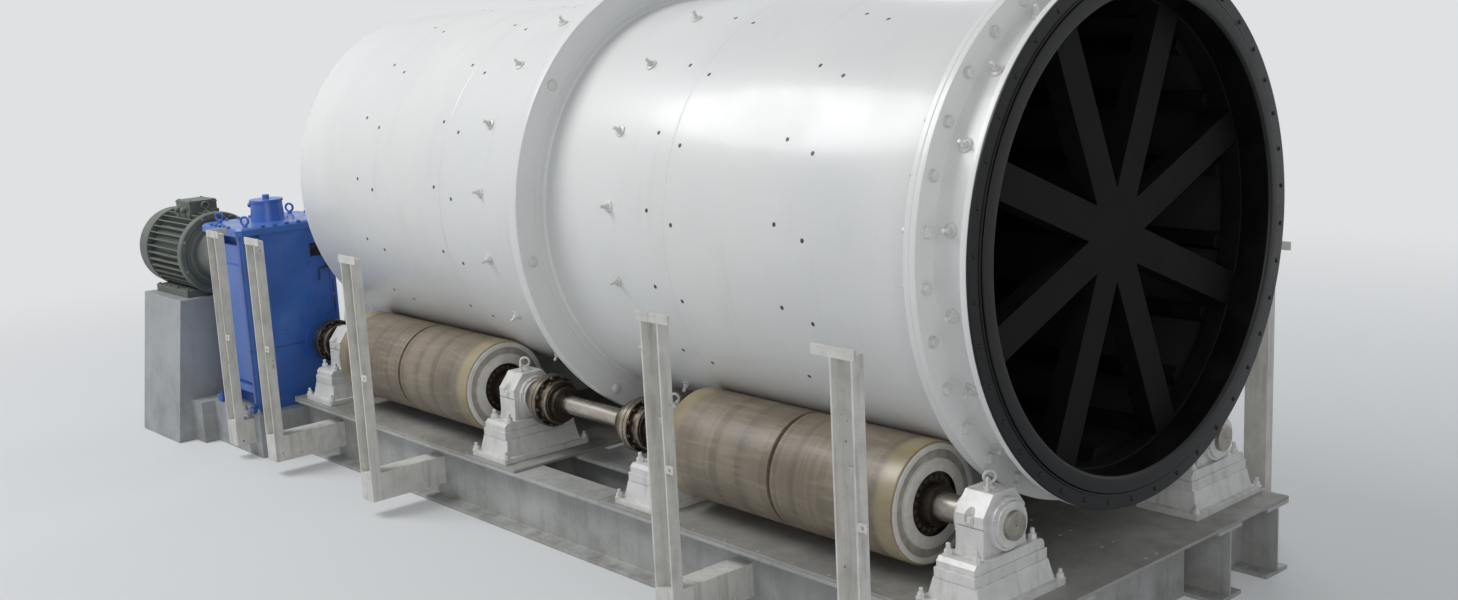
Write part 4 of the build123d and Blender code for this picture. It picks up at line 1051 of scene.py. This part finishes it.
motorLook = {
    # the axis is its y from the row's axle and its z; radii are from it
    "front": -4.615, "length": 0.760, "axis": (-0.430, 1.550), "fins": 36, "core": 0.289, "tip": 0.345,
    "finHalf": (0.007, 0.005),  # half thickness at the root and at the tip
    "endRadius": 0.350, "endWall": 0.060, "adapter": (0.210, -4.375),  # radius, x where it meets the gearbox
    "shield": ((0.0, 0.010), (0.0, 0.240), (-0.012, 0.252), (-0.012, 0.288), (0.0, 0.300), (0.0, 0.340),
               (-0.010, 0.350), (-0.060, 0.350), (-0.060, 0.010)),
    "shieldRadius": 0.320, "shieldBolts": 8, "shieldStart": 22.5, "shieldBolt": (0.026, 0.016, 0.018),
    "cowlEnd": -5.525, "cowlRadius": 0.338, "cowlBevel": 0.022, "grilleRadius": 0.290, "grilleDepth": 0.016,
    "wires": 9, "wireSize": 0.003, "wireDeep": 0.009, "spoke": (0.004, 0.003), "boxHalf": (0.140, 0.120),
    "boxTop": 1.985, "boxBolt": (0.014, 0.007), "boxBoltInset": 0.022,
    "boxSeam": (0.004, 0.022, 0.014),  # how far it stands out, from and to below the top
    "boxFoot": (0.012, 0.270, 0.352),  # how far it stands out, from and to above the axis
    "glandAt": (0.06, 0.075),  # x from the box's middle, below its top
    "gland": ((0.034, -0.002), (0.034, 0.008), (0.028, 0.012), (0.028, 0.034), (0.022, 0.040), (0.018, 0.048),
              (0.010, 0.048)),
    "eyeBack": 0.2, "eyeRise": 0.347, "eye": (0.030, 0.010, 0.014),
    "eyeSeat": ((0.028, 0.27), (0.028, 0.345), (0.025, 0.348)),
    "footHalf": 0.3, "footY": 0.282, "footTop": 1.260, "footX": (0.09, 0.3), "footBolt": (0.022, 0.010, 0.0135),
}


def motorCasting():
    # a finned motor about its own axis: frame, end shields, cowl with a sunk grille, adapter, feet and box
    look = motorLook
    x1, x0 = look["front"], look["front"] - look["length"]
    wall, end, cowl, grille, cowlEnd = (
        look[key] for key in ("endWall", "endRadius", "cowlRadius", "grilleRadius", "cowlEnd"))
    root, crest = look["finHalf"]
    u, v = np.array([(look["core"], -root), (look["tip"], -crest), (look["tip"], crest),
                     (look["core"], root)]).T
    a = np.arange(look["fins"])[:, None] * 2 * pi / look["fins"]
    # each fin's four corners turned by its angle: (u cos a - v sin a, u sin a + v cos a)
    outline = np.stack([u * np.cos(a) - v * np.sin(a), u * np.sin(a) + v * np.cos(a)], -1).reshape(-1, 2)
    sunk, bevel = cowlEnd + look["grilleDepth"], look["cowlBevel"]
    rear = [(sunk, 0.010), (x0 + wall, 0.010), (x0 + wall, end), (x0 + 0.008, end), (x0, end - 0.008),
            (x0, cowl), (cowlEnd + bevel, cowl), (cowlEnd, cowl - bevel), (cowlEnd, grille), (sunk, grille)]
    radius, far = look["adapter"]
    halfX, halfY = look["boxHalf"]
    over, low, high = look["boxFoot"]
    middle, z, half = (x0 + x1) / 2, look["axis"][1], look["footHalf"]
    return joined([
        alongX(outline, x0 + wall - 0.002, x1 - wall + 0.002),
        latheX(np.array(look["shield"]) + (x1, 0), 96, 0, 0), latheX(rear, 96, 0, 0),
        alongX(circle(radius, 80), x1 - 0.01, far),
        slab((x0 + wall, -half, -end), (x1 - wall, half, look["footTop"] - z)),
        slab((middle - halfX - over, -halfY - over, low), (middle + halfX + over, halfY + over, high)),
        slab((middle - halfX, -halfY, high - 0.002), (middle + halfX, halfY, look["boxTop"] - z)),
        copies(latheZ(look["eyeSeat"], 24), placesAt((x1 - look["eyeBack"], 0, 0)))])


motorShape = motorCasting()


def makeMotor(side, name):
    look = motorLook
    y, z = side * machine["rowY"] + look["axis"][0], look["axis"][1]
    x0, x1, top = look["front"] - look["length"], look["front"], look["boxTop"]
    shield = copies(hexBolt(*look["shieldBolt"]),
                    ringPlaces(look["shieldBolts"], look["shieldStart"], x1, look["shieldRadius"], 1, y, z))
    halfX, halfY = look["boxHalf"]
    middle, inset, (over, under, above) = (x0 + x1) / 2, look["boxBoltInset"], look["boxSeam"]
    seam = slab((middle - halfX - over, y - halfY - over, top - under),
                (middle + halfX + over, y + halfY + over, top - above))
    spots = square * (halfX - inset, halfY - inset) + (middle, y)
    lidBolts = copies(hexBolt(*look["boxBolt"]), placesAt(atHeight(spots, top)))
    glandX, glandZ = look["glandAt"]
    outlets = [(middle + dx, y - halfY, top - glandZ) for dx in (-glandX, glandX)]
    glands = copies(latheZ(look["gland"], 18), placesAt(outlets, (0, -1, 0)))
    eye = copies(eyeBolt(*look["eye"]), placesAt((x1 - look["eyeBack"], y, z + look["eyeRise"]), (0, 0, 1),
                                                 (0, 1, 0)))
    nearX, farX = look["footX"]
    feetX = np.array([x0 + nearX, x0 + farX, x1 - farX, x1 - nearX])
    feet = np.concatenate([np.c_[feetX, np.full(4, y + dy)] for dy in (-look["footY"], look["footY"])])
    footBolts = copies(hexBolt(*look["footBolt"]), placesAt(atHeight(feet, look["footTop"])))
    newPiece(name + "_motor_bolts", "bed", joined([shield, lidBolts, glands, eye, footBolts, seam]),
             "motorEnamel")
    radius, back, wire = look["grilleRadius"], look["cowlEnd"] + look["grilleDepth"], look["wireSize"]
    near, far = back - look["wireDeep"] - wire, back - look["wireDeep"] + wire
    sections = [[(near, r - wire), (far, r - wire), (far, r + wire), (near, r + wire)]
                for r in np.linspace(0.05, radius - 0.012, look["wires"])]
    wires = [latheX(roundCorners(section, 0.002, 3), 72, y, z) for section in sections]
    wide, thick = look["spoke"]
    spokes = copies(slab((0.03, -wide, -thick), (radius + 0.002, wide, thick)),
                    ringPlaces(8, 0, back - 0.006, 0.0, -1, y, z))
    newPiece(name + "_fan_grille", "bed", joined(wires + [spokes]), "motorEnamel")
    # a near-black disc behind the grille is painted shadow inside the cowl, in the black rubber finish
    shadowDisc = copies(latheZ([(radius - 0.002, 0.0), (radius - 0.002, 0.0015), (0.01, 0.0015)], 72),
                    placesAt((back, y, z), (-1, 0, 0), (0, 1, 0)))
    newPiece(name + "_fan_shadow", "bed", shadowDisc, "wearRubber")
    newPiece(name + "_motor_casting", "bed", copies(motorShape, placesAt((0, y, z))), "motorEnamel",
             [name + "_motor"], 35, 0.002)
    dressNode(name + "_drive_plinth", "plinthEnamel", 0.004)


makeMotor(-1, "front")
makeMotor(1, "back")
print("motors dressed")


# Bed

bedLook = {
    "deckRows": (-1.318, 1.318, -0.05, 0.05), "deckFrom": 0.52, "deckTo": 3.54, "deckBolts": 12,
    "deckScrew": (0.012, 0.005, 12), "saddleX": 1.965, "saddleHalf": 0.110, "saddleY": (-0.42, -0.2, 0.2, 0.42),
    "saddleRise": 0.035, "saddleBolt": (0.022, 0.012, 0.015), "bracketX": (-0.34, -0.10, 0.10, 0.34),
    "bracketY": 0.370, "bracketSlope": 6.919, "bracketDrop": 1.535,
    "bracketBolt": (0.036, 0.024, 0.027, 0.018, 0.010),
    "plinthTop": 0.350, "plinthX": (-4.405, -3.650), "plinthEdge": (-0.672, 0.202),
    "anchor": (0.030, 0.022, 0.024, 0.022, 0.010),
}
bedFinish = {
    "cross_beams": "frameEnamel", "deck_plates": "deckEnamel", "saddles": "saddleEnamel",
    "thrust_bracket": "whiteEnamel", "front_base_frame": "frameEnamel", "back_base_frame": "frameEnamel",
}


def makeBed():
    look, z = bedLook, machine["deckTop"]
    along = np.linspace(look["deckFrom"], look["deckTo"], look["deckBolts"])
    along = np.concatenate([-along[::-1], along])
    rows = [atHeight(np.c_[along, np.full(len(along), edge)], z) for edge in look["deckRows"]]
    screws = copies(domePlug(*look["deckScrew"]), placesAt(np.concatenate(rows)))
    newPiece("deck_screws", "bed", screws, "frameEnamel")
    sides = np.array([(x, y) for x in (-look["saddleX"], look["saddleX"]) for y in look["saddleY"]])
    bolts = [copies(hexBolt(*look["saddleBolt"]), placesAt(
        atHeight(sides + (face * look["saddleHalf"], 0), z + look["saddleRise"]), (face, 0, 0), (0, 0.2, 1)))
        for face in (-1, 1)]
    newPiece("saddle_bolts", "bed", joined(bolts), "saddleEnamel")
    slope = radians(look["bracketSlope"])
    xs, ys = np.array([(x, side * look["bracketY"]) for x in look["bracketX"] for side in (-1, 1)]).T
    upward = np.c_[np.zeros(len(ys)), -np.sign(ys) * sin(slope), np.full(len(ys), cos(slope))]
    # the top plates rise from the valley at the middle as |y| tan(slope)
    tops = zc - look["bracketDrop"] / cos(slope) + np.abs(ys) * np.tan(slope)
    heads = copies(hexBolt(*look["bracketBolt"]), placesAt(np.c_[xs, ys, tops], upward))
    newPiece("bracket_bolts", "bed", heads, "whiteEnamel")
    xs = np.linspace(*look["plinthX"], 4)
    anchors = [atHeight(np.c_[xs, np.full(4, side * machine["rowY"] + edge)], look["plinthTop"])
               for side in (-1, 1) for edge in look["plinthEdge"]]
    studs = copies(hexBolt(*look["anchor"]), placesAt(np.concatenate(anchors)))
    newPiece("plinth_anchors", "bed", studs, "plinthEnamel")
    for name, finish in bedFinish.items():
        dressNode(name, finish, 0.003)
    print("bed dressed")


postLook = {
    "posts": (  # x, side, |y| where the outrigger starts, how far the bar stands past the post at -X and at +X
        (-3.770, -1, 1.668, 0.0, 0.060), (-3.0802, -1, 1.235, 0.012, 0.072), (-1.5998, -1, 1.235, 0.030, 0.054),
        (1.6700, -1, 1.235, 0.036, 0.084), (3.0701, -1, 1.235, 0.120, 0.012), (3.150, 1, 1.235, 0.096, 0.084)),
    "near": 1.7525, "far": 1.8275, "half": 0.075, "wall": 0.012, "foot": 0.320, "top": 1.840, "edge": 0.002,
    "outrigger": 0.120, "bar": 0.026, "turned": 0.090,
    "turnedFrom": -3.6,  # the bar turns the corner on the post beyond this x
    "lug": (0.022, 0.060, 1.019, 0.011),  # half height, reach, z, hole radius
    "pad": (0.022, 1.262),  # half size, z
}


def makePosts():
    # channel posts about x = 0 on the -Y side, open away from the machine; the one at the back is turned round
    look, shapes = postLook, []
    near, far, half, wall, foot, top = (look[key] for key in ("near", "far", "half", "wall", "foot", "top"))
    channel = [(-half, -far), (wall - half, -far), (wall - half, -near - wall), (half - wall, -near - wall),
               (half - wall, -far), (half, -far), (half, -near), (-half, -near)]
    lugHalf, reach, lugZ, hole = look["lug"]
    drill = copies(latheZ([(hole, -0.04), (hole, 0.04)], 20),
                   placesAt((half + reach / 2, -far, lugZ), (0, 1, 0)))
    lug = slab((half - 0.001, -far, lugZ - lugHalf), (half + reach, wall - far, lugZ + lugHalf))
    padHalf, padZ = look["pad"]
    pad = slab((-padHalf, -near - 2 * wall, padZ - padHalf), (padHalf, 0.001 - near - wall, padZ + padHalf))
    barLow, barHigh = top - look["bar"], top + look["bar"]
    for x, side, start, before, past in look["posts"]:
        parts = [skin([channel, channel], (foot, top)), lug, pad,
                 slab((-half - before, -far, barLow), (half + past, wall - far, barHigh)),
                 slab((-half, -far, look["outrigger"]), (half, -start, foot))]
        if x < look["turnedFrom"]:
            parts.append(slab((-half, -far, barLow), (wall - half, look["turned"] - near, barHigh)))
        shapes.append(copies(carved(joined(parts), [drill]), placesAt((x, 0, 0), (0, 0, 1), (-side, 0, 0))))
    newPiece("channel_posts", "bed", joined(shapes), "postEnamel", ["guard_posts"], 35,
             look["edge"])
    print("posts made")


makeBed()
makePosts()


# Camera, floor and light

cameraLook = {"place": (7.920, -6.800, 3.484), "yaw": 48.4, "pitch": 11.15, "roll": -2.8, "lens": 38.163}
studioLook = {"backdrop": "#DFE1E3", "floor": "#D3D5D6", "light": "#DDE2E8", "worldStrength": 0.45,
              "floorGlow": 0.2, "fadeFrom": 4.0, "fadeTo": 14.0, "floorRadius": 60, "floorZ": -0.001}


def linked(name, data, place):
    # a camera, lamp or floor put into the scene at its place
    thing = bpy.data.objects.new(name, data)
    thing.matrix_world = place
    bpy.context.scene.collection.objects.link(thing)
    return thing


def makeCamera():
    # the view direction is turned by yaw from +Y towards -X and down by pitch, then the frame rolls about it
    yaw, pitch, roll = (radians(cameraLook[key]) for key in ("yaw", "pitch", "roll"))
    forward = Vector((-sin(yaw) * cos(pitch), cos(yaw) * cos(pitch), -sin(pitch)))
    across = Vector((cos(yaw), sin(yaw), 0))
    up = across.cross(forward)
    right = across * cos(roll) + up * sin(roll)
    top = up * cos(roll) - across * sin(roll)
    data = bpy.data.cameras.new("photo_camera")
    data.lens, data.sensor_width, data.sensor_fit = cameraLook["lens"], 36, "HORIZONTAL"
    data.clip_end = 200
    turn = Matrix((right, top, -forward)).transposed().to_4x4()
    bpy.context.scene.camera = linked("photo_camera", data, Matrix.Translation(cameraLook["place"]) @ turn)


def seenShare(tree):
    # 1 for what the camera sees straight, in a reflection or through glass, and 0 for what only lights
    ray = addNode(tree, "LightPath")
    direct = addNode(tree, "Math", {"operation": "ADD", "use_clamp": True},
                     {0: ray.outputs["Is Camera Ray"], 1: ray.outputs["Is Glossy Ray"]})
    return addNode(tree, "Math", {"operation": "ADD", "use_clamp": True},
                   {0: direct.outputs[0], 1: ray.outputs["Is Transmission Ray"]}).outputs[0]


def makeFloor():
    # a flat disc just under the beams, which takes on the backdrop's colour towards its edge
    finish = bpy.data.materials.new("paleFloor")
    finish.use_nodes = True
    tree = finish.node_tree
    tree.nodes.clear()
    matt = addNode(tree, "BsdfPrincipled", {"Base Color": linearColour(studioLook["floor"]), "Roughness": 0.8})
    glow = addNode(tree, "Emission", {"Color": linearColour(studioLook["backdrop"]), "Strength": 1.0})
    place = addNode(tree, "TexCoord").outputs["Object"]
    reach = addNode(tree, "VectorMath", {"operation": "LENGTH"}, {0: place})
    fade = addNode(tree, "MapRange", {"interpolation_type": "SMOOTHSTEP", "From Min": studioLook["fadeFrom"],
                                      "From Max": studioLook["fadeTo"], "To Min": studioLook["floorGlow"]},
                   {"Value": reach.outputs[1]})
    share = addNode(tree, "Math", {"operation": "MULTIPLY"}, {0: seenShare(tree), 1: fade.outputs[0]})
    mix = addNode(tree, "MixShader", None, {0: share.outputs[0], 1: matt.outputs[0], 2: glow.outputs[0]})
    addNode(tree, "OutputMaterial", None, {"Surface": mix.outputs[0]})
    mesh = bpy.data.meshes.new("studio_floor")
    rim = atHeight(circle(studioLook["floorRadius"], 96), studioLook["floorZ"])
    mesh.from_pydata(rim.tolist(), [], [list(range(len(rim)))])
    mesh.materials.append(finish)
    linked("studio_floor", mesh, Matrix())


lampLook = {  # name: place, target, size, watts
    "key": ((-6.0, -7.5, 11.5), (0.0, 0.0, 1.8), 7.0, 1080),
    "fill": ((11.0, -8.0, 5.0), (1.0, 0.0, 1.2), 9.0, 280),
    "back": ((-3.0, 10.0, 9.0), (0.0, 0.0, 1.8), 8.0, 350),
}


def makeLight():
    for name, (place, target, size, watts) in lampLook.items():
        data = bpy.data.lights.new(name + "_lamp", "AREA")
        data.shape, data.size, data.energy = "DISK", size, watts
        aim = (Vector(target) - Vector(place)).to_track_quat("-Z", "Y").to_matrix().to_4x4()
        linked(name + "_lamp", data, Matrix.Translation(place) @ aim)
    world = bpy.data.worlds.new("studio")
    world.use_nodes = True
    tree = world.node_tree
    tree.nodes.clear()
    soft = addNode(tree, "Background", {"Color": linearColour(studioLook["light"]),
                                        "Strength": studioLook["worldStrength"]})
    seen = addNode(tree, "Background", {"Color": linearColour(studioLook["backdrop"]), "Strength": 1.0})
    mix = addNode(tree, "MixShader", None, {0: seenShare(tree), 1: soft.outputs[0], 2: seen.outputs[0]})
    addNode(tree, "OutputWorld", None, {"Surface": mix.outputs[0]})
    bpy.context.scene.world = world
    bpy.context.scene.view_settings.view_transform = "Standard"


makeCamera()
makeFloor()
makeLight()
print("camera, floor and light made")
